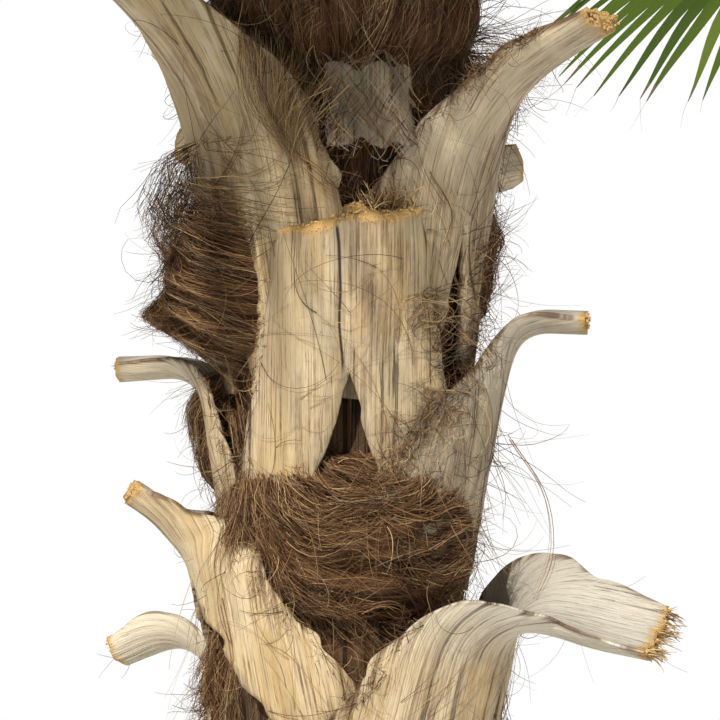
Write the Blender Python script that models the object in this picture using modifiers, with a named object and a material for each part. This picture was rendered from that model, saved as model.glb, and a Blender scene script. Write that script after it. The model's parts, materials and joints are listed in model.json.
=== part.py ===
"""Sabal palm, rooted: a trunk clothed in split leaf bases and hanging fibre, under a crown of fan fronds.

Units are metres and +Z is up. The origin is the middle of the flat cut under the trunk, at ground level.
Azimuth 0 faces -Y, the side that shows, and grows towards +X.
"""

import math
import random
from dataclasses import dataclass, replace

import bmesh
import bpy
from mathutils import Quaternion, Vector
from mathutils.bvhtree import BVHTree

# Clearance between neighbouring solids
GAP = 0.0003

# Trunk
TRUNK_HEIGHT = 2.50
TRUNK_RADIUS = 0.137
FLARE_EXTRA = 0.055
FLARE_REACH = 0.16
CROWN_START = 1.90
CROWN_RADIUS = 0.100
TIP_START = 2.36
TRUNK_SIDES = 32
FLARE_ROWS = (0.0, 0.04, 0.10, 0.20, 0.40)
BODY_ROWS = 5
TIP_ROWS = (0.45, 0.80)

# Leaf bases, called boots: a thin shell with two legs that clasp the trunk and a cut stalk above
BOOT_LEG_ROWS = 2
SHOWN_BOOT_ROWS = 5
OTHER_BOOT_ROWS = 3
BOOT_STRIPS = 6
PATH_STEPS = 48
FOOT_THICKNESS = 0.009
NECK_THICKNESS = 0.026
EDGE_THICKNESS = 0.006
CHANNEL_RADIUS = 0.060
NECK_PLACE = 0.62
CHANNEL_END = 0.80
THICK_END = 0.85
ROLL_END = 0.90

# Fibre that hangs between the boots
FIBRE_COLUMNS = 6
FIBRE_ROWS = 3
FIBRE_ROOT = 0.02
FIBRE_LUMP_LEAST = 0.80
FIBRE_EDGE_POWER = 3

# Fronds
FROND_COUNT = 19
FIRST_AZIMUTH = 142.0
GOLDEN_ANGLE = 137.5
LEAFLETS_PER_SIDE = 5
COSTA_LENGTH = 0.36
LEAFLET_LENGTH = 0.56
BASAL_ANGLE = 128.0
BASAL_SHORTER = 0.38
SPLIT = 0.50
TAPER_START = 0.76
TAPER_WIDTH = 0.66
BLADE_STEPS = 8
BLADE_THICKNESS = 0.0062
COSTA_POWER = 1.25
FOLD_STEEPNESS = 4.0
SPREAD_POWER = 0.85
DROOP_POWER = 1.6
SAG_POWER = 1.4
AGE_POWER = 0.5
FOLDED_FROM = 0.55
FROND_SEED = 100
STALK_STEPS = 16
STALK_SIDES = 4
STALK_SINK = 0.012
STALK_DROP = 0.60
STALK_BASE = (0.042, 0.020)
STALK_MIDDLE = (0.019, 0.012)
STALK_END = (0.008, 0.006)

# Spear, the youngest leaf, still folded
SPEAR_LENGTH = 0.92
SPEAR_RADIUS = 0.022
SPEAR_SIDES = 8
SPEAR_SINK = 0.06
SPEAR_ROWS = (0.92, 0.70, 0.40, 0.12, 0.0)
SPEAR_ROOT_SHARE = 0.75
SPEAR_ROOT_REACH = 0.3

BOOT_TAN = (0.60, 0.45, 0.26, 1.0)
FIBRE_BROWN = (0.16, 0.085, 0.040, 1.0)
TRUNK_BROWN = (0.11, 0.070, 0.040, 1.0)
FROND_GREEN = (0.13, 0.23, 0.035, 1.0)
SPEAR_GREEN = (0.25, 0.36, 0.08, 1.0)


@dataclass(frozen=True)
class Boot:
    """One leaf base, by where it grows and how it bends; press moves its foot into the trunk."""

    name: str
    azimuth: float
    foot_height: float
    length: float
    lean: float = 8.0
    tip_bend: float = 70.0
    bend_start: float = 0.50
    bend_end: float = 0.95
    foot_half: float = 0.20
    face_half: float = 0.115
    neck_half: float = 0.046
    tip_half: float = 0.030
    split: float = 0.42
    leg_gap: float = 0.06
    roll: float = 0.0
    skew: float = 0.0
    leg_rows: int = BOOT_LEG_ROWS
    press: float = 0.0
    channel: float = CHANNEL_RADIUS
    rows: int = SHOWN_BOOT_ROWS


@dataclass(frozen=True)
class Fibre:
    """One mass of fibre that hugs the trunk."""

    name: str
    azimuth: float
    height: float
    half_angle: float
    half_height: float
    bulge: float


@dataclass(frozen=True)
class Frond:
    """One fan leaf, by its stalk's run and its blade's fold."""

    name: str
    azimuth: float
    base_height: float
    rise: float
    sag: float
    stalk: float
    size: float
    fold: float
    arch: float
    droop: float
    spread: float


SHOWN_BOOTS = (
    Boot("boot_upper_left", -56, 1.46, 0.60, 8, 54, 0.32, 0.90, 0.20, 0.150, 0.060, 0.036, 0.50, 0.020),
    Boot("boot_upper_right", 50, 1.45, 0.518, 8, 69, 0.38, 0.92, 0.19, 0.125, 0.050, 0.034, 0.40, 0.035),
    Boot("boot_front", 1, 1.27, 0.400, 8, 24, 0.60, 1.00, 0.165, 0.112, 0.102, 0.086, 0.55, 0.060,
         channel=0.11),
    Boot("boot_right_mid", 82, 1.22, 0.410, 9, 92, 0.66, 0.90, 0.25, 0.165, 0.040, 0.022, 0.45, 0.050,
         leg_rows=3, channel=0.07),
    Boot("boot_left_mid", -96, 1.25, 0.335, 8, 92, 0.55, 0.85, 0.17, 0.085, 0.032, 0.024, 0.58, 0.060),
    Boot("boot_left_low", -74, 0.965, 0.418, 9, 58, 0.62, 1.00, 0.33, 0.148, 0.048, 0.030, 0.68, 0.240,
         leg_rows=4),
    Boot("boot_right_low", 66, 0.90, 0.475, 12, 100, 0.52, 0.76, 0.34, 0.200, 0.066, 0.050, 0.50, 0.045,
         roll=28, leg_rows=4),
    Boot("boot_left_base", -108, 0.90, 0.375, 8, 115, 0.50, 0.90, 0.18, 0.090, 0.040, 0.028, 0.45, 0.060, 40),
    Boot("boot_left_rear", -128, 1.50, 0.34, 8, 80, 0.55, 0.90, 0.16, 0.085, 0.036, 0.034, 0.40, 0.040, 60),
    Boot("boot_right_rear", 124, 1.49, 0.31, 8, 75, 0.55, 0.90, 0.16, 0.085, 0.036, 0.034, 0.40, 0.040, -60),
)

# Boots that the front view hides: azimuth and height of the foot
REAR_BOOTS = ((162, 0.98), (-150, 1.08), (152, 1.24), (-168, 1.38), (176, 1.62))
LOW_BOOT_COUNT = 12
LOW_BOOT_TOP = 0.72
LOW_BOOT_FOOT = 0.03
LOW_BOOT_AZIMUTH = 20.0
LOW_BOOT_SEED = 7
REAR_BOOT_SEED = 11
HIDDEN_BOOT_LEAN = 10.0
LOW_BOOT_PRESS = 0.0024
LOW_BOOT_PRESSED = 0.60

FIBRES = (
    Fibre("fibre_left", -74, 1.615, 38, 0.130, 0.135),
    Fibre("fibre_front_low", -2, 1.30, 72, 0.095, 0.062),
    Fibre("fibre_left_low", -88, 1.12, 20, 0.080, 0.040),
    Fibre("fibre_right", 88, 1.62, 24, 0.080, 0.055),
    Fibre("fibre_crown_front", -2, 1.94, 84, 0.110, 0.075),
    Fibre("fibre_crown_rear", 178, 1.94, 84, 0.110, 0.075),
    Fibre("fibre_rear", 170, 1.50, 50, 0.100, 0.055),
    Fibre("fibre_low", -20, 0.80, 60, 0.090, 0.055),
)


def smoothstep(low, high, value):
    """A smooth run from 0 at low to 1 at high."""
    share = min(max((value - low) / (high - low), 0.0), 1.0)
    return share * share * (3.0 - 2.0 * share)


def mix(first, second, share):
    return first + (second - first) * share


def radial(azimuth):
    angle = math.radians(azimuth)
    return Vector((math.sin(angle), -math.cos(angle), 0.0))


def tangent(azimuth):
    angle = math.radians(azimuth)
    return Vector((math.cos(angle), math.sin(angle), 0.0))


def trunk_radius(height):
    """Radius of the trunk: a flare at the ground, a long even run, a taper through the crown and a point."""
    flare = FLARE_EXTRA * math.exp(-height / FLARE_REACH)
    crown = mix(TRUNK_RADIUS, CROWN_RADIUS, smoothstep(CROWN_START, TIP_START, height))
    tip = min(max((height - TIP_START) / (TRUNK_HEIGHT - TIP_START), 0.0), 1.0)
    return (crown + flare) * math.sqrt(max(1.0 - tip * tip, 0.0))


def trunk_rows():
    """Heights at which the trunk's outline has a ring of points, from the ground up."""
    body = [mix(FLARE_ROWS[-1], TIP_START, (row + 1) / BODY_ROWS) for row in range(BODY_ROWS)]
    tip = [mix(TIP_START, TRUNK_HEIGHT, share) for share in TIP_ROWS]
    return list(FLARE_ROWS) + body + tip


def trunk_surface(height):
    """Distance from the axis to the trunk's outline, which runs straight between its rings."""
    rows = trunk_rows()
    for low, high in zip(rows, rows[1:]):
        if height <= high:
            share = (height - low) / (high - low)
            return mix(trunk_radius(low), trunk_radius(high), share)
    return trunk_radius(height)


def clear_scene():
    for leftover in list(bpy.data.objects):
        bpy.data.objects.remove(leftover, do_unlink=True)


def make_collection(name):
    group = bpy.data.collections.new(name)
    bpy.context.scene.collection.children.link(group)
    return group


def make_material(name, colour, roughness):
    material = bpy.data.materials.new(name)
    material.use_nodes = True
    shader = material.node_tree.nodes["Principled BSDF"]
    shader.inputs["Base Color"].default_value = colour
    shader.inputs["Roughness"].default_value = roughness
    shader.inputs["Metallic"].default_value = 0.0
    material.diffuse_color = colour
    return material


def object_from_faces(name, points, faces, group):
    """An object in the given collection, from points and faces that a function worked out."""
    mesh = bpy.data.meshes.new(name)
    mesh.from_pydata([tuple(point) for point in points], [], faces)
    solid = bpy.data.objects.new(name, mesh)
    group.objects.link(solid)
    tidy_mesh(solid)
    return solid


def tidy_mesh(solid):
    """Cuts faces into triangles and turns them all outwards."""
    shape = bmesh.new()
    shape.from_mesh(solid.data)
    bmesh.ops.triangulate(shape, faces=shape.faces[:])
    bmesh.ops.recalc_face_normals(shape, faces=shape.faces[:])
    shape.to_mesh(solid.data)
    shape.free()


def keep_largest_body(solid):
    """Drops the loose scraps that a cut leaves, and keeps the body with the most volume."""
    shape = bmesh.new()
    shape.from_mesh(solid.data)
    unseen = set(shape.verts)
    bodies = []
    while unseen:
        queue = [unseen.pop()]
        body = set(queue)
        while queue:
            for edge in queue.pop().link_edges:
                for vert in edge.verts:
                    if vert in unseen:
                        unseen.remove(vert)
                        body.add(vert)
                        queue.append(vert)
        bodies.append(body)
    if len(bodies) > 1:
        bodies.sort(key=body_volume, reverse=True)
        scraps = [vert for body in bodies[1:] for vert in body]
        bmesh.ops.delete(shape, geom=scraps, context="VERTS")
        shape.to_mesh(solid.data)
    shape.free()


def body_volume(body):
    """Volume inside the faces of one connected set of points."""
    faces = {face for vert in body for face in vert.link_faces}
    volume = 0.0
    for face in faces:
        corners = [vert.co for vert in face.verts]
        for second, third in zip(corners[1:], corners[2:]):
            volume += corners[0].dot(second.cross(third)) / 6.0
    return volume


def apply_boolean(solid, other, operation, solver="EXACT"):
    """Joins or cuts one mesh by another, and writes the result into the first."""
    modifier = solid.modifiers.new("boolean", "BOOLEAN")
    modifier.object = other
    modifier.operation = operation
    modifier.solver = solver
    bpy.context.view_layer.update()
    evaluated = solid.evaluated_get(bpy.context.evaluated_depsgraph_get())
    result = bpy.data.meshes.new_from_object(evaluated)
    solid.modifiers.remove(modifier)
    solid.data = result
    tidy_mesh(solid)


def surface_tree(solid):
    shape = bmesh.new()
    shape.from_mesh(solid.data)
    tree = BVHTree.FromBMesh(shape)
    shape.free()
    return tree


def cut_clear(solid, cutters):
    """Cuts a solid by each cutter that it crosses, and keeps its main body."""
    for cutter in cutters:
        if surface_tree(solid).overlap(surface_tree(cutter)):
            apply_boolean(solid, cutter, "DIFFERENCE")
            keep_largest_body(solid)


def hide_cutter(cutter):
    cutter.hide_render = True
    cutter.display_type = "WIRE"


def turned_solid(name, profile, sides, group):
    """A profile of radius and height, from the top of the axis down its outer side, turned once round Z."""
    mesh = bpy.data.meshes.new(name)
    edges = [(index, index + 1) for index in range(len(profile) - 1)]
    mesh.from_pydata([(radius, 0.0, height) for radius, height in profile], edges, [])
    solid = bpy.data.objects.new(name, mesh)
    group.objects.link(solid)
    screw = solid.modifiers.new("turn", "SCREW")
    screw.steps = sides
    screw.render_steps = sides
    screw.use_merge_vertices = True
    screw.merge_threshold = 0.00001
    bpy.context.view_layer.update()
    evaluated = solid.evaluated_get(bpy.context.evaluated_depsgraph_get())
    turned = bpy.data.meshes.new_from_object(evaluated)
    solid.modifiers.remove(screw)
    solid.data = turned
    tidy_mesh(solid)
    return solid


def trunk_profile(grow, foot):
    """Radius and height from the tip down to the foot, closed on the axis at both ends."""
    profile = [(0.0, TRUNK_HEIGHT + grow)]
    for height in reversed(trunk_rows()):
        profile.append((trunk_radius(height) + grow, height))
    if foot:
        profile.append((trunk_radius(0.0) + grow, -foot))
    profile.append((0.0, -foot))
    return profile


def build_trunk(parts, cutters):
    """The trunk, and a cutter that is larger by the clearance."""
    trunk = turned_solid("trunk", trunk_profile(0.0, 0.0), TRUNK_SIDES, parts)
    trunk.data.materials.append(make_material("trunk_bark", TRUNK_BROWN, 0.95))
    grow = GAP / math.cos(math.pi / TRUNK_SIDES)
    cutter = turned_solid("trunk_cutter", trunk_profile(grow, 0.1), TRUNK_SIDES, cutters)
    hide_cutter(cutter)
    return cutter


def boot_path(boot):
    """Distance from the axis, height and angle off vertical at each step along a boot's middle line."""
    reach = trunk_surface(boot.foot_height) + GAP + FOOT_THICKNESS / 2.0 - boot.press
    height = boot.foot_height
    step = boot.length / PATH_STEPS
    path = []
    for index in range(PATH_STEPS + 1):
        share = index / PATH_STEPS
        bend = mix(boot.lean, boot.tip_bend, smoothstep(boot.bend_start, boot.bend_end, share))
        angle = math.radians(bend)
        path.append((reach, height, angle))
        reach += math.sin(angle) * step
        height += math.cos(angle) * step
    return path


def path_at(path, share):
    """The path's values between its steps."""
    place = min(max(share, 0.0), 1.0) * PATH_STEPS
    index = min(int(place), PATH_STEPS - 1)
    part = place - index
    return [mix(low, high, part) for low, high in zip(path[index], path[index + 1])]


def boot_half_width(boot, share):
    """Half of a boot's width: wide at the foot, then the face, the neck and the cut end."""
    if share < boot.split:
        return mix(boot.foot_half, boot.face_half, share / boot.split)
    neck = mix(boot.split, 1.0, NECK_PLACE)
    if share < neck:
        return mix(boot.face_half, boot.neck_half, smoothstep(boot.split, neck, share))
    return mix(boot.neck_half, boot.tip_half, smoothstep(neck, 1.0, share))


def boot_gap(boot, share):
    """Half of the opening between a boot's legs, which closes at the split."""
    if share >= boot.split:
        return 0.0
    return boot.leg_gap * (1.0 - share / boot.split)


def boot_point(boot, path, share, side, outward, grow, strip=0.0):
    """A point of a boot's skin.

    share runs from the foot to the cut end, side is the signed distance round the shell from its middle line,
    and outward is +1 for the outer skin and -1 for the inner one. strip is the width of a flat strip of the
    shell, which moves the legs out until the strip's middle, and not its edge, is clear of the trunk.
    """
    reach, height, angle = path_at(path, share)
    out = radial(boot.azimuth)
    along = out * math.sin(angle) + Vector((0, 0, math.cos(angle)))
    roll = Quaternion(along, math.radians(boot.roll) * smoothstep(boot.split, ROLL_END, share))
    normal = roll @ (out * math.cos(angle) - Vector((0, 0, math.sin(angle))))
    across = roll @ tangent(boot.azimuth)
    curl = mix(reach, boot.channel, smoothstep(boot.split, CHANNEL_END, share))
    turn = side / curl
    if share < boot.split:
        reach += curl * (1.0 / math.cos(strip / curl / 2.0) - 1.0)
    width = boot_half_width(boot, share)
    middle = mix(FOOT_THICKNESS, NECK_THICKNESS, smoothstep(boot.split, THICK_END, share))
    edge_share = min(abs(side) / width, 1.0)
    thickness = mix(middle, EDGE_THICKNESS, edge_share * edge_share) + 2.0 * grow
    point = out * reach + Vector((0, 0, height))
    point += across * math.sin(turn) * curl + normal * (math.cos(turn) - 1.0) * curl
    skin = normal * math.cos(turn) + across * math.sin(turn)
    point += skin * outward * thickness / 2.0
    if share <= 0.0:
        point -= along * grow
    if share >= 1.0:
        point += along * grow
    return point


def boot_solid(boot, grow, group):
    """A boot as one closed shell: two legs of half the strips each, joined above the split."""
    path = boot_path(boot)
    shares = [boot.split * row / boot.leg_rows for row in range(boot.leg_rows)]
    shares += [mix(boot.split, 1.0, row / boot.rows) for row in range(boot.rows + 1)]
    points = []
    index_of = {}

    def place(row, column, half, outward):
        """Index of a grid point; the middle column is two points below the split and one above it."""
        share = shares[row]
        middle = BOOT_STRIPS // 2
        if column == middle and share >= boot.split:
            half = 0
        key = (row, column, half if column == middle else 0, outward)
        if key not in index_of:
            width = boot_half_width(boot, share) + grow
            gap = max(boot_gap(boot, share) - grow, 0.0)
            spread = abs(column - middle) / middle
            sign = half if column == middle else (1 if column > middle else -1)
            side = sign * mix(gap, width, spread) * (1.0 + sign * boot.skew)
            strip = (width - gap) / middle
            points.append(boot_point(boot, path, share, side, outward, grow, strip))
            index_of[key] = len(points) - 1
        return index_of[key]

    faces = []
    last = len(shares) - 1
    for row in range(last):
        for column in range(BOOT_STRIPS):
            half = -1 if column < BOOT_STRIPS // 2 else 1
            for outward in (-1, 1):
                faces.append([
                    place(row, column, half, outward),
                    place(row, column + 1, half, outward),
                    place(row + 1, column + 1, half, outward),
                    place(row + 1, column, half, outward),
                ])
        rims = [(0, -1), (BOOT_STRIPS, 1)]
        if shares[row] < boot.split:
            rims += [(BOOT_STRIPS // 2, -1), (BOOT_STRIPS // 2, 1)]
        for column, half in rims:
            faces.append([
                place(row, column, half, -1),
                place(row + 1, column, half, -1),
                place(row + 1, column, half, 1),
                place(row, column, half, 1),
            ])
    for row in (0, last):
        for column in range(BOOT_STRIPS):
            half = -1 if column < BOOT_STRIPS // 2 else 1
            faces.append([
                place(row, column, half, -1),
                place(row, column + 1, half, -1),
                place(row, column + 1, half, 1),
                place(row, column, half, 1),
            ])
    return object_from_faces(boot.name, points, faces, group)


def low_boots():
    """Boots of the lower trunk, which climb it in a spiral, each a little unlike the last."""
    draw = random.Random(LOW_BOOT_SEED)
    boots = []
    for index in range(LOW_BOOT_COUNT):
        share = index / (LOW_BOOT_COUNT - 1)
        boots.append(Boot(
            f"boot_low_{index + 1:02d}",
            LOW_BOOT_AZIMUTH + GOLDEN_ANGLE * index + draw.uniform(-6.0, 6.0),
            mix(LOW_BOOT_FOOT, LOW_BOOT_TOP, share),
            draw.uniform(0.38, 0.46),
            lean=HIDDEN_BOOT_LEAN,
            tip_bend=draw.uniform(50.0, 95.0),
            bend_start=0.50,
            bend_end=draw.uniform(0.80, 0.95),
            foot_half=0.20,
            face_half=0.125,
            neck_half=0.044,
            roll=draw.uniform(-25.0, 25.0),
            press=LOW_BOOT_PRESS * max(1.0 - share / LOW_BOOT_PRESSED, 0.0),
            rows=OTHER_BOOT_ROWS,
        ))
    return boots


def rear_boots():
    """Boots behind the trunk, between the shown ones."""
    draw = random.Random(REAR_BOOT_SEED)
    boots = []
    for index, (azimuth, height) in enumerate(REAR_BOOTS):
        boots.append(Boot(
            f"boot_rear_{index + 1}",
            azimuth,
            height,
            draw.uniform(0.40, 0.48),
            lean=HIDDEN_BOOT_LEAN,
            tip_bend=draw.uniform(50.0, 85.0),
            foot_half=0.20,
            face_half=0.120,
            rows=OTHER_BOOT_ROWS,
        ))
    return boots


def build_boots(parts, cutters, trunk_cutter):
    """Every boot, cut clear of the trunk and of the boots before it; returns larger copies as cutters."""
    tan = make_material("boot", BOOT_TAN, 0.75)
    placed = []
    for boot in list(SHOWN_BOOTS) + rear_boots() + low_boots():
        solid = boot_solid(boot, 0.0, parts)
        cut_clear(solid, [trunk_cutter] + placed)
        solid.data.materials.clear()
        solid.data.materials.append(tan)
        grown = boot_solid(replace(boot, name=boot.name + "_cutter"), 2.0 * GAP, cutters)
        hide_cutter(grown)
        placed.append(grown)
    return placed


def fibre_solid(fibre, group):
    """A lumpy dome of fibre over a window of azimuth and height, with its back sunk in the trunk."""
    draw = random.Random(fibre.name)
    points = []
    for layer in (1, 0):
        for row in range(FIBRE_ROWS + 1):
            for column in range(FIBRE_COLUMNS + 1):
                across = 2.0 * column / FIBRE_COLUMNS - 1.0
                up = 2.0 * row / FIBRE_ROWS - 1.0
                azimuth = fibre.azimuth + fibre.half_angle * across
                height = fibre.height + fibre.half_height * up
                dome = math.sqrt((1.0 - abs(across) ** FIBRE_EDGE_POWER) * (1.0 - abs(up) ** FIBRE_EDGE_POWER))
                lump = fibre.bulge * dome * draw.uniform(FIBRE_LUMP_LEAST, 1.0)
                reach = trunk_surface(height) + (lump if layer else 0.0) - FIBRE_ROOT * (2 - layer)
                points.append(radial(azimuth) * reach + Vector((0, 0, height)))
    stride = FIBRE_COLUMNS + 1
    back = stride * (FIBRE_ROWS + 1)
    faces = []
    for row in range(FIBRE_ROWS):
        for column in range(FIBRE_COLUMNS):
            corner = row * stride + column
            square = [corner, corner + 1, corner + 1 + stride, corner + stride]
            faces.append(square)
            faces.append([index + back for index in reversed(square)])
    rim = list(range(FIBRE_COLUMNS))
    rim += [row * stride + FIBRE_COLUMNS for row in range(FIBRE_ROWS)]
    rim += [FIBRE_ROWS * stride + column for column in range(FIBRE_COLUMNS, 0, -1)]
    rim += [row * stride for row in range(FIBRE_ROWS, 0, -1)]
    for first, second in zip(rim, rim[1:] + rim[:1]):
        faces.append([second, first, first + back, second + back])
    return object_from_faces(fibre.name, points, faces, group)


def build_fibres(parts, cutters):
    brown = make_material("fibre", FIBRE_BROWN, 1.0)
    for fibre in FIBRES:
        solid = fibre_solid(fibre, parts)
        cut_clear(solid, cutters)
        solid.data.materials.clear()
        solid.data.materials.append(brown)


def frond_rule(index):
    """The frond at a place in the crown's spiral, from the lowest and oldest, 0, to the youngest."""
    draw = random.Random(FROND_SEED + index)
    share = index / (FROND_COUNT - 1)
    middle_age = 4.0 * share * (1.0 - share)
    return Frond(
        name=f"frond_{index + 1:02d}",
        azimuth=FIRST_AZIMUTH + GOLDEN_ANGLE * index,
        base_height=mix(2.06, 2.40, share),
        rise=mix(14.0, 86.0, share ** AGE_POWER),
        sag=6.0 + 20.0 * middle_age,
        stalk=mix(0.96, 0.80, share) * draw.uniform(0.95, 1.05),
        size=mix(1.0, 0.86, share),
        fold=mix(-29.0, 56.0, share),
        arch=mix(16.0, 34.0, share) + 26.0 * middle_age,
        droop=mix(0.29, 0.20, share) + 0.3 * middle_age,
        spread=mix(1.0, 0.42, smoothstep(FOLDED_FROM, 1.0, share)),
    )


def frond_stalk(frond):
    """Points and elevations along a frond's stalk, from inside the trunk to the hub of its blade."""
    out = radial(frond.azimuth)
    base = trunk_surface(frond.base_height) - STALK_SINK
    point = out * base + Vector((0, 0, frond.base_height))
    step = frond.stalk / STALK_STEPS
    run = []
    for index in range(STALK_STEPS + 1):
        share = index / STALK_STEPS
        angle = math.radians(frond.rise - frond.sag * share ** SAG_POWER)
        run.append((point.copy(), angle))
        point += (out * math.cos(angle) + Vector((0, 0, math.sin(angle)))) * step
    return run


def frond_costa(frond, hub, angle, place):
    """Point and elevation on the costa, the stalk's run through the blade, at a share of its length."""
    out = radial(frond.azimuth)
    point = hub.copy()
    bend = angle
    step = COSTA_LENGTH * frond.size * place / BLADE_STEPS
    for index in range(BLADE_STEPS):
        bend = angle - math.radians(frond.arch) * place * (index + 0.5) / BLADE_STEPS
        point += (out * math.cos(bend) + Vector((0, 0, math.sin(bend)))) * step
    return point, angle - math.radians(frond.arch) * place


def leaflet_line(frond, hub, angle, place):
    """A line of the blade out from the costa, as a function of the share of its own length.

    place runs from -1 and +1 at the two basal edges to 0 at the end of the costa.
    Returns points, directions and normals at each step.
    """
    away = abs(place)
    side = 1.0 if place >= 0.0 else -1.0
    start, bend = frond_costa(frond, hub, angle, (1.0 - away) ** COSTA_POWER)
    out = radial(frond.azimuth)
    forward = out * math.cos(bend) + Vector((0, 0, math.sin(bend)))
    upward = Vector((0, 0, math.cos(bend))) - out * math.sin(bend)
    fold = math.radians(frond.fold) * min(away * FOLD_STEEPNESS, 1.0)
    lateral = tangent(frond.azimuth) * side * math.cos(fold) + upward * math.sin(fold)
    normal = upward * math.cos(fold) - tangent(frond.azimuth) * side * math.sin(fold)
    spread = math.radians(BASAL_ANGLE) * frond.spread * away ** SPREAD_POWER
    heading = forward * math.cos(spread) + lateral * math.sin(spread)
    length = LEAFLET_LENGTH * frond.size * (1.0 - BASAL_SHORTER * away * away)
    step = length / BLADE_STEPS
    point = start
    line = []
    for index in range(BLADE_STEPS + 1):
        share = index / BLADE_STEPS
        course = (heading + Vector((0, 0, -1)) * frond.droop * share ** DROOP_POWER).normalized()
        square = (normal - course * normal.dot(course)).normalized()
        line.append((point.copy(), course, square))
        point = point + course * step
    return line


def line_at(line, share):
    """Point, direction and normal on a leaflet line between its steps."""
    place = min(share, 0.9999) * BLADE_STEPS
    index = int(place)
    part = place - index
    return [low.lerp(high, part) for low, high in zip(line[index], line[index + 1])]


def blade_solid(frond, hub, angle, group):
    """The fan as one thin closed blade, its outline cut between the leaflets down to the split."""
    count = 2 * LEAFLETS_PER_SIDE + 1
    half = BLADE_THICKNESS / 2.0
    points = []
    faces = []

    def pair(point, normal):
        """Adds a point on the upper and one on the lower face."""
        points.append(point + normal * half)
        points.append(point - normal * half)
        return len(points) - 2

    def sheet(corners):
        faces.append(list(corners))
        faces.append([corner + 1 for corner in reversed(corners)])

    def wall(first, second):
        faces.append([second, first, first + 1, second + 1])

    seams = [2.0 * index / count - 1.0 for index in range(count + 1)]
    lines = [leaflet_line(frond, hub, angle, place) for place in seams]
    ribs = {}
    for index, place in enumerate(seams):
        level = min(index, count - index)
        if level not in ribs:
            point, bend = frond_costa(frond, hub, angle, (1.0 - abs(place)) ** COSTA_POWER)
            upward = Vector((0, 0, math.cos(bend))) - radial(frond.azimuth) * math.sin(bend)
            ribs[level] = pair(point, upward)
    notches = []
    for line in lines:
        point, _, normal = line_at(line, SPLIT)
        notches.append(pair(point, normal))
    for index in range(count):
        first, second = notches[index], notches[index + 1]
        rib_first = ribs[min(index, count - index)]
        rib_second = ribs[min(index + 1, count - index - 1)]
        corners = [rib_first, first, second, rib_second]
        if rib_first == rib_second:
            corners = corners[:3]
        sheet(corners)
        middle = leaflet_line(frond, hub, angle, (seams[index] + seams[index + 1]) / 2.0)
        width = (points[second] - points[first]).length / 2.0 * TAPER_WIDTH
        point, course, normal = line_at(middle, TAPER_START)
        across = normal.cross(course).normalized() * width
        near = pair(point - across, normal)
        far = pair(point + across, normal)
        if (points[near] - points[first]).length > (points[far] - points[first]).length:
            near, far = far, near
        point, _, normal = line_at(middle, 1.0)
        tip = pair(point, normal)
        sheet([first, near, far, second])
        sheet([near, tip, far])
        for start, end in ((first, near), (near, tip), (tip, far), (far, second)):
            wall(start, end)
    wall(ribs[0], notches[0])
    wall(notches[-1], ribs[0])
    return object_from_faces(frond.name, points, faces, group)


def stalk_solid(frond, run, group):
    """The stalk and the costa as one tapering rod, widest where it clasps the trunk."""
    hub, angle = run[-1]
    stations = []
    for share, size in ((0.0, STALK_BASE), (0.30, STALK_MIDDLE), (0.70, STALK_MIDDLE)):
        point, bend = run[int(share * STALK_STEPS)]
        stations.append((point, bend, size))
    for place in (0.0, 0.75):
        point, bend = frond_costa(frond, hub, angle, place)
        size = [mix(start, end, place) for start, end in zip(STALK_MIDDLE, STALK_END)]
        stations.append((point, bend, size))
    out = radial(frond.azimuth)
    across = tangent(frond.azimuth)
    points = []
    for point, bend, (half_width, half_depth) in stations:
        upward = Vector((0, 0, math.cos(bend))) - out * math.sin(bend)
        for side in range(STALK_SIDES):
            turn = 2.0 * math.pi * (side + 0.5) / STALK_SIDES
            offset = across * math.cos(turn) * half_width
            points.append(point + offset + upward * (math.sin(turn) - STALK_DROP) * half_depth)
    faces = [list(range(STALK_SIDES)), [len(points) - 1 - side for side in range(STALK_SIDES)]]
    for ring in range(len(stations) - 1):
        for side in range(STALK_SIDES):
            corner = ring * STALK_SIDES + side
            beside = ring * STALK_SIDES + (side + 1) % STALK_SIDES
            faces.append([beside, corner, corner + STALK_SIDES, beside + STALK_SIDES])
    return object_from_faces(frond.name + "_stalk", points, faces, group)


def build_fronds(parts, cutters):
    """Every frond as one body, cut clear of the trunk."""
    green = make_material("frond", FROND_GREEN, 0.5)
    for index in range(FROND_COUNT):
        frond = frond_rule(index)
        run = frond_stalk(frond)
        hub, angle = run[-1]
        solid = blade_solid(frond, hub, angle, parts)
        stalk = stalk_solid(frond, run, parts)
        apply_boolean(solid, stalk, "UNION", "MANIFOLD")
        bpy.data.objects.remove(stalk, do_unlink=True)
        cut_clear(solid, cutters)
        solid.data.materials.clear()
        solid.data.materials.append(green)


def build_spear(parts, cutters):
    """The folded youngest leaf, upright on the trunk's tip."""
    low = TRUNK_HEIGHT - SPEAR_SINK
    profile = [(0.0, low + SPEAR_LENGTH)]
    for share in SPEAR_ROWS:
        root = mix(SPEAR_ROOT_SHARE, 1.0, smoothstep(0.0, SPEAR_ROOT_REACH, share))
        radius = SPEAR_RADIUS * math.sqrt(1.0 - share) * root
        profile.append((radius, low + SPEAR_LENGTH * share))
    profile.append((0.0, low))
    spear = turned_solid("spear_leaf", profile, SPEAR_SIDES, parts)
    cut_clear(spear, cutters)
    spear.data.materials.clear()
    spear.data.materials.append(make_material("spear", SPEAR_GREEN, 0.5))


def main():
    clear_scene()
    parts = make_collection("sabal_palm")
    cutters = make_collection("cutters")
    trunk_cutter = build_trunk(parts, cutters)
    boot_cutters = build_boots(parts, cutters, trunk_cutter)
    build_fibres(parts, [trunk_cutter] + boot_cutters)
    build_fronds(parts, [trunk_cutter])
    build_spear(parts, [trunk_cutter])


main()
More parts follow.
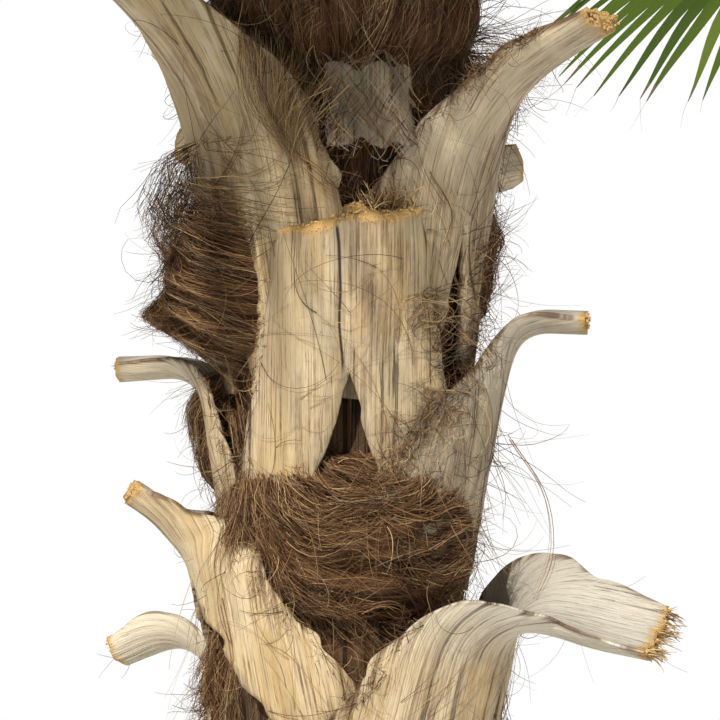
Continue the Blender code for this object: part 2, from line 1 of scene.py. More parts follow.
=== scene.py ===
"""Looks of the rooted sabal palm: relief, grain and colour for its trunk, leaf bases, fibre and fan fronds.

Units are metres and +Z is up. Azimuth 0 faces -Y, the side that shows, and grows towards +X.
"""

from __future__ import annotations

import json
import logging
import math
import random
import sys
from dataclasses import dataclass, field
from enum import Enum

import bmesh
import bpy
import numpy as np
from mathutils.bvhtree import BVHTree
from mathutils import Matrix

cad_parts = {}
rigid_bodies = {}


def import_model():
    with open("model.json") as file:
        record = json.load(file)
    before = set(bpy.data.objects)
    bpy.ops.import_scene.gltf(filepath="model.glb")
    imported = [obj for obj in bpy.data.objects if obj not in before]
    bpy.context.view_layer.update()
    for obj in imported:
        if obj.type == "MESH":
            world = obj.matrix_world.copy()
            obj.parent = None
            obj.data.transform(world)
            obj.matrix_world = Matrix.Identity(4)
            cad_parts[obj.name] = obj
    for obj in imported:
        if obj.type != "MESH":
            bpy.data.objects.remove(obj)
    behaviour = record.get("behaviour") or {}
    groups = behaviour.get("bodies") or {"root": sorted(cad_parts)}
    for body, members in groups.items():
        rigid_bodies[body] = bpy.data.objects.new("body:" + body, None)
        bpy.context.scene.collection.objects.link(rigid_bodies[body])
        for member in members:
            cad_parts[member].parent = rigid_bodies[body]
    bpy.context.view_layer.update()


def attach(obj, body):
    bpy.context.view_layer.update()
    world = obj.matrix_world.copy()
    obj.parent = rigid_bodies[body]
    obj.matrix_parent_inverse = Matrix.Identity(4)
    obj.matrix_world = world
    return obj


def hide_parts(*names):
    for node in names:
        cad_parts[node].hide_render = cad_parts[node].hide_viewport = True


LOG = logging.getLogger("sabal_palm")
BODY = "root"

# Trunk, as in the construction
GAP = 0.0003
TRUNK_HEIGHT = 2.50
TRUNK_RADIUS = 0.137
FLARE_EXTRA = 0.055
FLARE_REACH = 0.16
CROWN_START = 1.90
CROWN_RADIUS = 0.100
TIP_START = 2.36

# Leaf bases
PATH_STEPS = 48
FOOT_THICKNESS = 0.009
NECK_THICKNESS = 0.026
EDGE_THICKNESS = 0.006
CHANNEL_RADIUS = 0.060
NECK_PLACE = 0.62
CHANNEL_END = 0.80
THICK_END = 0.85
ROLL_END = 0.90

# Fronds
FROND_COUNT = 19
FIRST_AZIMUTH = 142.0
GOLDEN_ANGLE = 137.5
COSTA_LENGTH = 0.36
LEAFLET_LENGTH = 0.56
BASAL_ANGLE = 128.0
BASAL_SHORTER = 0.38
BLADE_STEPS = 8
COSTA_POWER = 1.25
FOLD_STEEPNESS = 4.0
SPREAD_POWER = 0.85
DROOP_POWER = 1.6
SAG_POWER = 1.4
AGE_POWER = 0.5
FOLDED_FROM = 0.55
FROND_SEED = 100
STALK_STEPS = 16
STALK_SINK = 0.012

Array = np.ndarray

# Straight runs in each curly strand, in each combed one and in each draped one
STRAND_STEPS = 8
LOCK_STEPS = 6
DRAPED_STEPS = 12


def smoothstep(low: float, high: float, value: Array | float) -> Array:
    """A smooth run from 0 at low to 1 at high."""
    share = np.clip((np.asarray(value, float) - low) / (high - low), 0.0, 1.0)
    return share * share * (3.0 - 2.0 * share)


def mix(first: Array | float, second: Array | float, share: Array | float) -> Array | float:
    """The value that lies a share of the way from first to second."""
    return first + (second - first) * share


def unit(vectors: Array) -> Array:
    """The vectors, each brought to length 1."""
    return vectors / np.maximum(np.linalg.norm(vectors, axis=-1, keepdims=True), 1e-9)


def radial(azimuth: Array | float) -> Array:
    """Level direction away from the trunk's axis, for an azimuth in degrees."""
    angle = np.radians(azimuth)
    return np.stack([np.sin(angle), -np.cos(angle), np.zeros_like(angle)], axis=-1)


def tangent(azimuth: Array | float) -> Array:
    """Level direction round the trunk, for an azimuth in degrees."""
    angle = np.radians(azimuth)
    return np.stack([np.cos(angle), np.sin(angle), np.zeros_like(angle)], axis=-1)


UP = np.array([0.0, 0.0, 1.0])


def trunk_radius(height: Array | float) -> Array:
    """Radius of the stem at a height: a flare, a long even run, a taper through the crown and a point."""
    height = np.asarray(height, float)
    flare = FLARE_EXTRA * np.exp(-height / FLARE_REACH)
    crown = mix(TRUNK_RADIUS, CROWN_RADIUS, smoothstep(CROWN_START, TIP_START, height))
    tip = np.clip((height - TIP_START) / (TRUNK_HEIGHT - TIP_START), 0.0, 1.0)
    return (crown + flare) * np.sqrt(np.maximum(1.0 - tip * tip, 0.0))


class Noise:
    """Smooth seeded noise in space, the same on every run."""

    SIZE = 32

    def __init__(self, seed: int) -> None:
        """Fills the lattice from the seed."""
        self.lattice = np.random.default_rng(seed).uniform(-1.0, 1.0, (self.SIZE,) * 3)

    def __call__(self, points: Array, scale: float | tuple[float, float, float] = 1.0) -> Array:
        """Values from -1 to 1.

        Args:
            points: an array whose last axis is x, y, z.
            scale: lattice cells to a metre, one number or one for each axis.

        Returns:
            One value for each point.
        """
        place = np.asarray(points, float) * np.asarray(scale, float)
        low = np.floor(place).astype(int)
        part = place - low
        part = part * part * (3.0 - 2.0 * part)
        total = np.zeros(place.shape[:-1])
        for corner in range(8):
            step = np.array([corner & 1, (corner >> 1) & 1, (corner >> 2) & 1])
            index = (low + step) % self.SIZE
            weight = np.prod(np.where(step, part, 1.0 - part), axis=-1)
            total += weight * self.lattice[index[..., 0], index[..., 1], index[..., 2]]
        return total


LUMPS = Noise(21)
PITS = Noise(22)


def mesh_object(name: str, points: Array, faces: Array | list, smooth: bool = True) -> bpy.types.Object:
    """A mesh object at the origin.

    Args:
        name: the piece's name.
        points: one row for each vertex.
        faces: vertex indices for each face.
        smooth: whether its faces are shaded smooth.

    Returns:
        The linked object.
    """
    mesh = bpy.data.meshes.new(name)
    mesh.from_pydata(np.asarray(points, float).tolist(), [], [list(face) for face in faces])
    if smooth:
        mesh.polygons.foreach_set("use_smooth", np.ones(len(mesh.polygons), bool))
    piece = bpy.data.objects.new(name, mesh)
    bpy.context.scene.collection.objects.link(piece)
    return piece


def turn_outwards(piece: bpy.types.Object) -> None:
    """Turns every closed shell of a piece so that its faces point out."""
    shape = bmesh.new()
    shape.from_mesh(piece.data)
    bmesh.ops.recalc_face_normals(shape, faces=shape.faces[:])
    shape.to_mesh(piece.data)
    shape.free()


def point_attribute(piece: bpy.types.Object, name: str, values: Array) -> None:
    """Stores three numbers on each vertex of a piece, under a name that its material reads."""
    layer = piece.data.attributes.new(name, "FLOAT_VECTOR", "POINT")
    layer.data.foreach_set("vector", np.asarray(values, np.float32).ravel())


def grid_faces(rows: int, columns: int, start: int = 0, closed: bool = False) -> Array:
    """Quads of a grid of points.

    Args:
        rows: number of rows of points.
        columns: number of points in a row.
        start: index of the first point.
        closed: whether the last column joins the first.

    Returns:
        Four indices for each quad.
    """
    last = columns if closed else columns - 1
    row, column = np.meshgrid(np.arange(rows - 1), np.arange(last), indexing="ij")
    beside = (column + 1) % columns
    corners = [row * columns + column, row * columns + beside, (row + 1) * columns + beside]
    corners.append((row + 1) * columns + column)
    return np.stack([corner.ravel() for corner in corners], axis=1) + start


def finish_piece(piece: bpy.types.Object, nodes: tuple[str, ...] = ()) -> None:
    """Lets a piece ride on the plant and hides the nodes that it stands for."""
    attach(piece, BODY)
    if nodes:
        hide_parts(*nodes)


class Tree:
    """A small writer for node trees, so that each material and shape reads as a list of steps."""

    def __init__(self, tree: bpy.types.NodeTree) -> None:
        """Keeps the tree that it writes to."""
        self.tree = tree

    def add(self, kind: str, values: dict | None = None, **settings: object) -> bpy.types.Node:
        """Adds a node.

        Args:
            kind: the node's type name.
            values: socket name or index to a constant or to another node's output.
            settings: the node's own properties.

        Returns:
            The node.
        """
        node = self.tree.nodes.new(kind)
        for name, value in settings.items():
            setattr(node, name, value)
        for name, value in (values or {}).items():
            if isinstance(value, bpy.types.NodeSocket):
                self.tree.links.new(value, node.inputs[name])
            else:
                node.inputs[name].default_value = value
        return node

    def maths(self, operation: str, *values: object) -> bpy.types.NodeSocket:
        """The output of a Math node on up to three values."""
        node = self.add("ShaderNodeMath", dict(enumerate(values)), operation=operation)
        return node.outputs[0]

    def blend(self, share: object, first: object, second: object, mode: str = "MIX") -> bpy.types.NodeSocket:
        """A mixed colour.

        Args:
            share: how much of the second, a number or an output.
            first: a colour or an output.
            second: a colour or an output.
            mode: how they are mixed.

        Returns:
            The colour output.
        """
        node = self.add("ShaderNodeMix", data_type="RGBA", blend_type=mode)
        for index, value in ((0, share), (6, first), (7, second)):
            if isinstance(value, bpy.types.NodeSocket):
                self.tree.links.new(value, node.inputs[index])
            else:
                node.inputs[index].default_value = value
        return node.outputs[2]

    def attribute(self, name: str) -> list[bpy.types.NodeSocket]:
        """The three numbers of a piece's attribute, and the whole of it as a fourth."""
        whole = self.add("ShaderNodeAttribute", attribute_name=name).outputs["Vector"]
        return [*self.add("ShaderNodeSeparateXYZ", {0: whole}).outputs, whole]

    def ramp(self, value: bpy.types.NodeSocket, low: float, high: float) -> bpy.types.NodeSocket:
        """A smooth 0 to 1 between two values."""
        node = self.add("ShaderNodeMapRange", {0: value, 1: low, 2: high}, interpolation_type="SMOOTHSTEP")
        return node.outputs[0]


def group_socket(tree: bpy.types.NodeTree, name: str, kind: str, output: bool = False, value: object = None) -> None:
    """Adds one named socket to a node group's interface."""
    way = "OUTPUT" if output else "INPUT"
    socket = tree.interface.new_socket(name=name, in_out=way, socket_type=kind)
    if value is not None:
        socket.default_value = value


class SharedEffects:
    """Shader groups that several finishes use, each built once."""

    def __init__(self) -> None:
        """Builds the groups."""
        self.streaks = self.build_streaks()
        self.blotches = self.build_blotches()

    def build_streaks(self) -> bpy.types.NodeTree:
        """Fine lines that run with the grain.

        Returns:
            A group from Vector, Across and Along to Mask, Cracks, Flecks and Height.
        """
        tree = bpy.data.node_groups.new("grain_streaks", "ShaderNodeTree")
        group_socket(tree, "Vector", "NodeSocketVector")
        group_socket(tree, "Across", "NodeSocketFloat", value=300.0)
        group_socket(tree, "Along", "NodeSocketFloat", value=6.0)
        for name in ("Mask", "Cracks", "Flecks", "Height"):
            group_socket(tree, name, "NodeSocketFloat", output=True)
        make = Tree(tree)
        start = make.add("NodeGroupInput")
        scale = make.add("ShaderNodeCombineXYZ", {0: start.outputs["Across"], 1: start.outputs["Along"], 2: 1.0})
        place = make.add("ShaderNodeVectorMath", {0: start.outputs["Vector"], 1: scale.outputs[0]}, operation="MULTIPLY")
        fine = make.add("ShaderNodeTexNoise", {"Vector": place.outputs[0], "Scale": 1.0, "Detail": 5.0, "Roughness": 0.62})
        broad = make.add("ShaderNodeTexNoise", {"Vector": place.outputs[0], "Scale": 0.22, "Detail": 2.0})
        cracks = make.ramp(fine.outputs[0], 0.39, 0.33)
        flecks = make.ramp(fine.outputs[0], 0.58, 0.68)
        both = make.maths("MULTIPLY_ADD", broad.outputs[0], 0.35, make.maths("MULTIPLY", fine.outputs[0], 0.65))
        mask = make.ramp(both, 0.41, 0.58)
        height = make.maths("SUBTRACT", both, make.maths("MULTIPLY", cracks, 0.35))
        make.add("NodeGroupOutput", {"Mask": mask, "Cracks": cracks, "Flecks": flecks, "Height": height})
        return tree

    def build_blotches(self) -> bpy.types.NodeTree:
        """Patches of weathering, drawn out along the grain.

        Returns:
            A group from Vector, Scale and Cover to Mask.
        """
        tree = bpy.data.node_groups.new("weather_blotches", "ShaderNodeTree")
        group_socket(tree, "Vector", "NodeSocketVector")
        group_socket(tree, "Scale", "NodeSocketFloat", value=10.0)
        group_socket(tree, "Cover", "NodeSocketFloat", value=0.5)
        group_socket(tree, "Mask", "NodeSocketFloat", output=True)
        make = Tree(tree)
        start = make.add("NodeGroupInput")
        longer = make.add("ShaderNodeVectorMath", {0: start.outputs["Vector"], 1: (1.7, 0.62, 1.0)}, operation="MULTIPLY")
        values = {"Vector": longer.outputs[0], "Scale": start.outputs["Scale"], "Detail": 6.0, "Roughness": 0.62}
        noise = make.add("ShaderNodeTexNoise", values)
        edge = make.maths("SUBTRACT", 1.0, start.outputs["Cover"])
        low = make.maths("SUBTRACT", edge, 0.09)
        high = make.maths("ADD", edge, 0.09)
        mask = make.add("ShaderNodeMapRange", {0: noise.outputs[0], 1: low, 2: high}, interpolation_type="SMOOTHSTEP")
        make.add("NodeGroupOutput", {"Mask": mask.outputs[0]})
        return tree


def new_material(name: str) -> tuple[bpy.types.Material, Tree, bpy.types.Node]:
    """An empty material.

    Args:
        name: the finish's name.

    Returns:
        The material, a writer for its tree, and its Principled shader.
    """
    material = bpy.data.materials.new(name)
    material.use_nodes = True
    material.node_tree.nodes.clear()
    make = Tree(material.node_tree)
    shader = make.add("ShaderNodeBsdfPrincipled")
    make.add("ShaderNodeOutputMaterial", {"Surface": shader.outputs[0]})
    return material, make, shader


def place_group(make: Tree, group: bpy.types.NodeTree, values: dict) -> bpy.types.Node:
    """Places a shared group in a material with its own values."""
    node = make.add("ShaderNodeGroup", node_tree=group)
    for name, value in values.items():
        if isinstance(value, bpy.types.NodeSocket):
            make.tree.links.new(value, node.inputs[name])
        else:
            node.inputs[name].default_value = value
    return node


@dataclass(frozen=True)
class BootFinish:
    """Dry leaf base: straw and gold, weathered grey and mauve, with glossy ribs, painted highlights, brown margins and
    a pitted cut.
    """

    name: str = "dry_leaf_base"
    straw: tuple = (0.50, 0.350, 0.165, 1.0)
    gold: tuple = (0.66, 0.450, 0.185, 1.0)
    pale: tuple = (0.86, 0.70, 0.45, 1.0)
    bleached: tuple = (0.78, 0.715, 0.580, 1.0)
    lining: tuple = (0.55, 0.515, 0.450, 1.0)
    grey: tuple = (0.38, 0.340, 0.260, 1.0)
    mauve: tuple = (0.36, 0.215, 0.155, 1.0)
    stain: tuple = (0.20, 0.105, 0.050, 1.0)
    margin: tuple = (0.12, 0.050, 0.018, 1.0)
    cut: tuple = (0.60, 0.36, 0.12, 1.0)
    crack: tuple = (0.040, 0.024, 0.014, 1.0)

    def build(self, effects: SharedEffects) -> bpy.types.Material:
        """The material, whose patterns follow the leaf base's own length and width."""
        material, make, shader = new_material(self.name)
        grain, parts, tints, marks = [make.attribute(name) for name in ("grain", "zone", "tint", "mark")]
        fine, broad, dashes, flecks = [
            place_group(make, effects.streaks, {"Vector": grain[3], "Across": across, "Along": along}).outputs
            for across, along in ((560.0, 9.0), (85.0, 3.0), (1000.0, 24.0), (300.0, 13.0))]
        weathered, spotted, gloss_and_painted_highlight, flushed = [
            place_group(make, effects.blotches, {"Vector": grain[3], "Scale": scale, "Cover": cover}).outputs[0]
            for scale, cover in ((8.0, 0.55), (17.0, 0.47), (12.0, 0.45), (9.5, 0.40))]
        colour = make.blend(tints[1], self.straw, self.gold)
        colour = make.blend(make.maths("MULTIPLY", broad["Mask"], 0.55), colour, self.pale)
        colour = make.blend(make.maths("MULTIPLY", flushed, 0.42), colour, self.mauve)
        colour = make.blend(make.maths("MULTIPLY", make.maths("MULTIPLY_ADD", weathered, 0.8, 0.2), tints[0]),
                            colour, self.grey)
        # Pale glossy patches: painted highlight laid on the colour; the same patches are made smoother below.
        colour = make.blend(make.maths("MULTIPLY", gloss_and_painted_highlight, 0.50), colour, self.pale)
        colour = make.blend(tints[2], colour, self.bleached)
        colour = make.blend(make.maths("MULTIPLY", parts[2], 0.8), colour, self.lining)
        lines = make.maths("MULTIPLY", make.maths("SUBTRACT", 1.0, fine["Mask"]),
                           make.maths("MULTIPLY_ADD", spotted, 0.45, 0.22))
        lines = make.maths("MULTIPLY", lines, make.maths("MULTIPLY_ADD", tints[2], -0.55, 1.0))
        colour = make.blend(lines, colour, self.stain)
        dotted = make.maths("MULTIPLY", dashes["Cracks"], make.maths("MULTIPLY_ADD", spotted, 0.75, 0.10))
        colour = make.blend(dotted, colour, self.crack)
        # Pale flecks along the grain: partly pale fibre, partly painted highlight.
        colour = make.blend(make.maths("MULTIPLY", flecks["Flecks"], 0.38), colour, self.pale)
        colour = make.blend(make.maths("MULTIPLY", broad["Cracks"], 0.60), colour, self.crack)
        line = make.maths("MULTIPLY", make.ramp(make.maths("ABSOLUTE", marks[0]), 0.0022, 0.0006), marks[1])
        colour = make.blend(line, colour, self.crack)
        near_edge = make.maths("MULTIPLY_ADD", broad["Mask"], -0.14, parts[0])
        colour = make.blend(make.maths("MULTIPLY", make.ramp(near_edge, 0.86, 0.99), 0.85), colour, self.margin)
        place = make.add("ShaderNodeTexCoord").outputs["Object"]
        pits = make.add("ShaderNodeTexVoronoi", {"Vector": place, "Scale": 430.0}).outputs["Distance"]
        end = make.blend(make.ramp(pits, 0.34, 0.14), self.cut, self.crack)
        near_cut = make.maths("MULTIPLY_ADD", fine["Mask"], 0.02, parts[1])
        colour = make.blend(make.ramp(near_cut, 0.985, 1.010), colour, end)
        make.tree.links.new(colour, shader.inputs["Base Color"])
        rough = make.maths("MULTIPLY_ADD", gloss_and_painted_highlight, -0.28, make.maths("MULTIPLY_ADD", fine["Mask"], -0.12, 0.80))
        make.tree.links.new(rough, shader.inputs["Roughness"])
        values = {"Height": fine["Height"], "Strength": 1.0, "Distance": 0.0028}
        bump = make.add("ShaderNodeBump", values).outputs[0]
        values = {"Height": broad["Height"], "Strength": 1.0, "Distance": 0.008, "Normal": bump}
        make.tree.links.new(make.add("ShaderNodeBump", values).outputs[0], shader.inputs["Normal"])
        return material


@dataclass(frozen=True)
class MatFinish:
    """Matted fibre or old bark: dark, its darkest colour painted shade of the fibre's depths, with fine threads along
    its comb and some across it.
    """

    name: str = "fibre_mat"
    # Nearly black: painted shade in the depths and gaps of the fibre.
    deep: tuple = (0.016, 0.0075, 0.0035, 1.0)
    warm: tuple = (0.095, 0.042, 0.017, 1.0)
    thread: tuple = (0.27, 0.14, 0.060, 1.0)
    crossing: float = 0.4

    def build(self, effects: SharedEffects) -> bpy.types.Material:
        """The material, with one strong family of threads and one that crosses it."""
        material, make, shader = new_material(self.name)
        grain = make.attribute("grain")[3]
        turned = make.add("ShaderNodeMapping", {"Vector": grain, "Rotation": (0.0, 0.0, 0.9)}).outputs[0]
        along, cross = [place_group(make, effects.streaks, {"Vector": vector, "Across": 430.0, "Along": 9.0}).outputs
                        for vector in (grain, turned)]
        thread = make.maths("MAXIMUM", along["Mask"], make.maths("MULTIPLY", cross["Flecks"], self.crossing))
        patch = place_group(make, effects.blotches, {"Vector": grain, "Scale": 13.0, "Cover": 0.5}).outputs[0]
        colour = make.blend(patch, self.deep, self.warm)
        colour = make.blend(make.maths("MULTIPLY", thread, 0.50), colour, self.thread)
        # Dark gaps along the threads: painted shade.
        colour = make.blend(make.maths("MULTIPLY", along["Cracks"], 0.9), colour, self.deep)
        make.tree.links.new(colour, shader.inputs["Base Color"])
        shader.inputs["Roughness"].default_value = 0.95
        shader.inputs["Specular IOR Level"].default_value = 0.2
        height = make.maths("MULTIPLY_ADD", cross["Height"], self.crossing, along["Height"])
        values = {"Height": height, "Strength": 1.0, "Distance": 0.005}
        make.tree.links.new(make.add("ShaderNodeBump", values).outputs[0], shader.inputs["Normal"])
        return material


@dataclass(frozen=True)
class PlainFinish:
    """One plain colour, dealt out to many small pieces among its neighbours."""

    name: str
    colour: tuple
    roughness: float = 0.6
    gloss: float = 0.35

    def build(self) -> bpy.types.Material:
        """The material."""
        material, _, shader = new_material(self.name)
        shader.inputs["Base Color"].default_value = self.colour
        shader.inputs["Roughness"].default_value = self.roughness
        shader.inputs["Specular IOR Level"].default_value = self.gloss
        return material


@dataclass(frozen=True)
class StalkFinish:
    """Smooth green stalk, yellower at its base, with faint lines along it."""

    name: str = "green_stalk"
    green: tuple = (0.20, 0.27, 0.055, 1.0)
    yellow: tuple = (0.46, 0.42, 0.14, 1.0)
    brown: tuple = (0.30, 0.19, 0.07, 1.0)

    def build(self, effects: SharedEffects) -> bpy.types.Material:
        """The material, which follows the stalk's own length."""
        material, make, shader = new_material(self.name)
        grain, parts = make.attribute("grain")[3], make.attribute("zone")
        streaks = place_group(make, effects.streaks, {"Vector": grain, "Across": 260.0, "Along": 4.0}).outputs
        colour = make.blend(make.ramp(parts[1], 0.30, 0.0), self.green, self.yellow)
        colour = make.blend(make.maths("MULTIPLY", streaks["Mask"], 0.35), colour, self.yellow)
        colour = make.blend(make.ramp(parts[1], 0.07, 0.0), colour, self.brown)
        make.tree.links.new(colour, shader.inputs["Base Color"])
        shader.inputs["Roughness"].default_value = 0.42
        values = {"Height": streaks["Height"], "Strength": 0.3, "Distance": 0.001}
        make.tree.links.new(make.add("ShaderNodeBump", values).outputs[0], shader.inputs["Normal"])
        return material


@dataclass
class Studio:
    """Plain pale floor, soft light and the camera at the photograph's angle."""

    camera_place: tuple = (0.0144, -2.3, 1.5)
    pixel: float = 0.0012
    frame: int = 720
    sensor: float = 36.0
    floor_radius: float = 5.2

    def build(self) -> None:
        """Makes the floor, the lights and the camera."""
        scene = bpy.context.scene
        turn = np.linspace(0.0, 2.0 * math.pi, 96, endpoint=False)
        rim = np.stack([np.cos(turn) * self.floor_radius, np.sin(turn) * self.floor_radius, 0.0 * turn], axis=-1)
        floor = mesh_object("floor", rim, [list(range(96))])
        floor.data.materials.append(PlainFinish("floor", (0.80, 0.80, 0.80, 1.0), 0.9).build())
        world = bpy.data.worlds.new("studio")
        world.use_nodes = True
        world.node_tree.nodes.clear()
        make = Tree(world.node_tree)
        glow = make.add("ShaderNodeBackground", {0: (0.94, 0.97, 1.0, 1.0), 1: 0.40})
        seen = make.add("ShaderNodeBackground", {0: (1.0, 1.0, 1.0, 1.0), 1: 1.0})
        direct = make.add("ShaderNodeLightPath").outputs["Is Camera Ray"]
        both = make.add("ShaderNodeMixShader", {0: direct, 1: glow.outputs[0], 2: seen.outputs[0]})
        make.add("ShaderNodeOutputWorld", {"Surface": both.outputs[0]})
        scene.world = world
        self.sun("key", (50.0, 0.0, -24.0), 4.1, 1.2, (1.0, 0.960, 0.885))
        self.sun("fill", (72.0, 0.0, 50.0), 0.40, 40.0, (0.94, 0.97, 1.0))
        lens = self.sensor * -self.camera_place[1] / (self.frame * self.pixel)
        data = bpy.data.cameras.new("view")
        data.sensor_width = self.sensor
        data.lens = lens
        camera = bpy.data.objects.new("view", data)
        camera.location = self.camera_place
        camera.rotation_euler = (math.pi / 2.0, 0.0, 0.0)
        scene.collection.objects.link(camera)
        scene.camera = camera
        scene.view_settings.view_transform = "Standard"

    def way(self, pixels: Array) -> Array:
        """The direction from the camera through each pixel of the frame."""
        level = (pixels - self.frame / 2.0) * self.pixel / -self.camera_place[1]
        return np.stack([level[..., 0], np.ones(level.shape[:-1]), -level[..., 1]], axis=-1)

    @staticmethod
    def sun(name: str, turn: tuple, strength: float, spread: float, colour: tuple) -> None:
        """Adds one distant light, turned by degrees, with a disc of some degrees."""
        data = bpy.data.lights.new(name, "SUN")
        data.energy = strength
        data.angle = math.radians(spread)
        data.color = colour
        light = bpy.data.objects.new(name, data)
        light.rotation_euler = tuple(math.radians(angle) for angle in turn)
        bpy.context.scene.collection.objects.link(light)


class Shade(Enum):
    """The plain colours that strands of fibre are dealt."""

    DARK = PlainFinish("strand_dark", (0.045, 0.019, 0.009, 1.0), 0.75)
    BROWN = PlainFinish("strand_brown", (0.155, 0.072, 0.028, 1.0), 0.65)
    TAN = PlainFinish("strand_tan", (0.34, 0.195, 0.085, 1.0), 0.6)
    STRAW = PlainFinish("strand_straw", (0.62, 0.43, 0.20, 1.0), 0.55)
    GREY = PlainFinish("strand_grey", (0.30, 0.245, 0.175, 1.0), 0.7)


# Shares of dark, brown, tan, straw and grey strands
DUSKY = (0.42, 0.38, 0.12, 0.02, 0.06)
RUSTY = (0.20, 0.42, 0.27, 0.06, 0.05)
MIXED = (0.20, 0.32, 0.27, 0.09, 0.12)
SANDY = (0.04, 0.20, 0.40, 0.26, 0.10)
GOLDEN = (0.02, 0.12, 0.34, 0.52, 0.00)


class Green(Enum):
    """The plain colours that leaflets are dealt."""

    DEEP = PlainFinish("leaflet_deep", (0.085, 0.155, 0.010, 1.0), 0.5, 0.25)
    MIDDLE = PlainFinish("leaflet_middle", (0.130, 0.215, 0.015, 1.0), 0.5, 0.25)
    LIGHT = PlainFinish("leaflet_light", (0.195, 0.285, 0.026, 1.0), 0.5, 0.25)
    TIP = PlainFinish("leaflet_tip", (0.27, 0.20, 0.095, 1.0), 0.7, 0.25)


class StrandMaker:
    """Turns lines into thin three-sided strands with Geometry Nodes, and deals out their shades."""

    SIDES = 3

    def __init__(self) -> None:
        """Builds the tree and the shades."""
        self.shades = [shade.value.build() for shade in Shade]
        self.tree = self.build_tree()

    def build_tree(self) -> bpy.types.NodeTree:
        """The tree, from loose edges to closed strands.

        Returns:
            A tree with the inputs Thickness and Sides, and one material for each shade.
        """
        tree = bpy.data.node_groups.new("fibre_strands", "GeometryNodeTree")
        group_socket(tree, "Geometry", "NodeSocketGeometry")
        group_socket(tree, "Thickness", "NodeSocketFloat", value=1.0)
        group_socket(tree, "Sides", "NodeSocketInt", value=self.SIDES)
        for shade in Shade:
            group_socket(tree, f"{shade.name.title()} Material", "NodeSocketMaterial")
        group_socket(tree, "Geometry", "NodeSocketGeometry", output=True)
        make = Tree(tree)
        start = make.add("NodeGroupInput")
        curve = make.add("GeometryNodeMeshToCurve", {0: start.outputs["Geometry"]})
        width = make.add("GeometryNodeInputNamedAttribute", {"Name": "width"}, data_type="FLOAT")
        values = {"Curve": curve.outputs[0], "Radius": make.maths("MULTIPLY", width.outputs[0], start.outputs["Thickness"])}
        sized = make.add("GeometryNodeSetCurveRadius", values)
        ring = make.add("GeometryNodeCurvePrimitiveCircle", {"Resolution": start.outputs["Sides"], "Radius": 1.0})
        values = {"Curve": sized.outputs[0], "Profile Curve": ring.outputs[0], "Fill Caps": True}
        values["Scale"] = make.add("GeometryNodeInputRadius").outputs[0]
        tube = make.add("GeometryNodeCurveToMesh", values)
        shape = make.add("GeometryNodeRealizeInstances", {0: tube.outputs[0]}).outputs[0]
        number = make.add("GeometryNodeInputNamedAttribute", {"Name": "shade"}, data_type="INT")
        for index, shade in enumerate(Shade):
            same = make.add("FunctionNodeCompare", data_type="INT", operation="EQUAL")
            make.tree.links.new(number.outputs[0], same.inputs[2])
            same.inputs[3].default_value = index
            values = {"Geometry": shape, "Selection": same.outputs[0]}
            values["Material"] = start.outputs[f"{shade.name.title()} Material"]
            shape = make.add("GeometryNodeSetMaterial", values).outputs[0]
        make.add("NodeGroupOutput", {0: shape})
        return tree

    def build(self, name: str, lines: Array, widths: Array, shades: Array) -> bpy.types.Object:
        """One joined piece of strands.

        Args:
            name: the piece's name.
            lines: points by strand and step.
            widths: half thickness of each strand at its root.
            shades: the number of each strand's shade.

        Returns:
            The finished mesh object.
        """
        count, length = lines.shape[:2]
        first = (np.arange(count)[:, None] * length + np.arange(length - 1)).ravel()
        mesh = bpy.data.meshes.new(name)
        mesh.from_pydata(lines.reshape(-1, 3).tolist(), np.stack([first, first + 1], axis=1).tolist(), [])
        taper = np.tile(np.linspace(1.0, 0.35, length), count)
        layer = mesh.attributes.new("width", "FLOAT", "POINT")
        layer.data.foreach_set("value", (np.repeat(widths, length) * taper).astype(np.float32))
        layer = mesh.attributes.new("shade", "INT", "POINT")
        layer.data.foreach_set("value", np.repeat(shades, length).astype(np.int32))
        wanted = {"Thickness": 1.0, "Sides": self.SIDES}
        wanted |= {f"{shade.name.title()} Material": material for shade, material in zip(Shade, self.shades)}
        return grown(name, mesh, self.tree, wanted)


def grown(name: str, mesh: bpy.types.Mesh, tree: bpy.types.NodeTree, wanted: dict) -> bpy.types.Object:
    """A plain mesh grown by a Geometry Nodes tree.

    Args:
        name: the piece's name.
        mesh: the points or edges that the tree starts from.
        tree: the tree.
        wanted: input name to value.

    Returns:
        The piece, with no modifier left.
    """
    piece = bpy.data.objects.new(name, mesh)
    bpy.context.scene.collection.objects.link(piece)
    modifier = piece.modifiers.new("growth", "NODES")
    modifier.node_group = tree
    for item in tree.interface.items_tree:
        if item.in_out == "INPUT" and item.name in wanted:
            modifier[item.identifier] = wanted[item.name]
    evaluated = piece.evaluated_get(bpy.context.evaluated_depsgraph_get())
    plain = bpy.data.meshes.new_from_object(evaluated)
    piece.modifiers.remove(modifier)
    piece.data = plain
    return piece


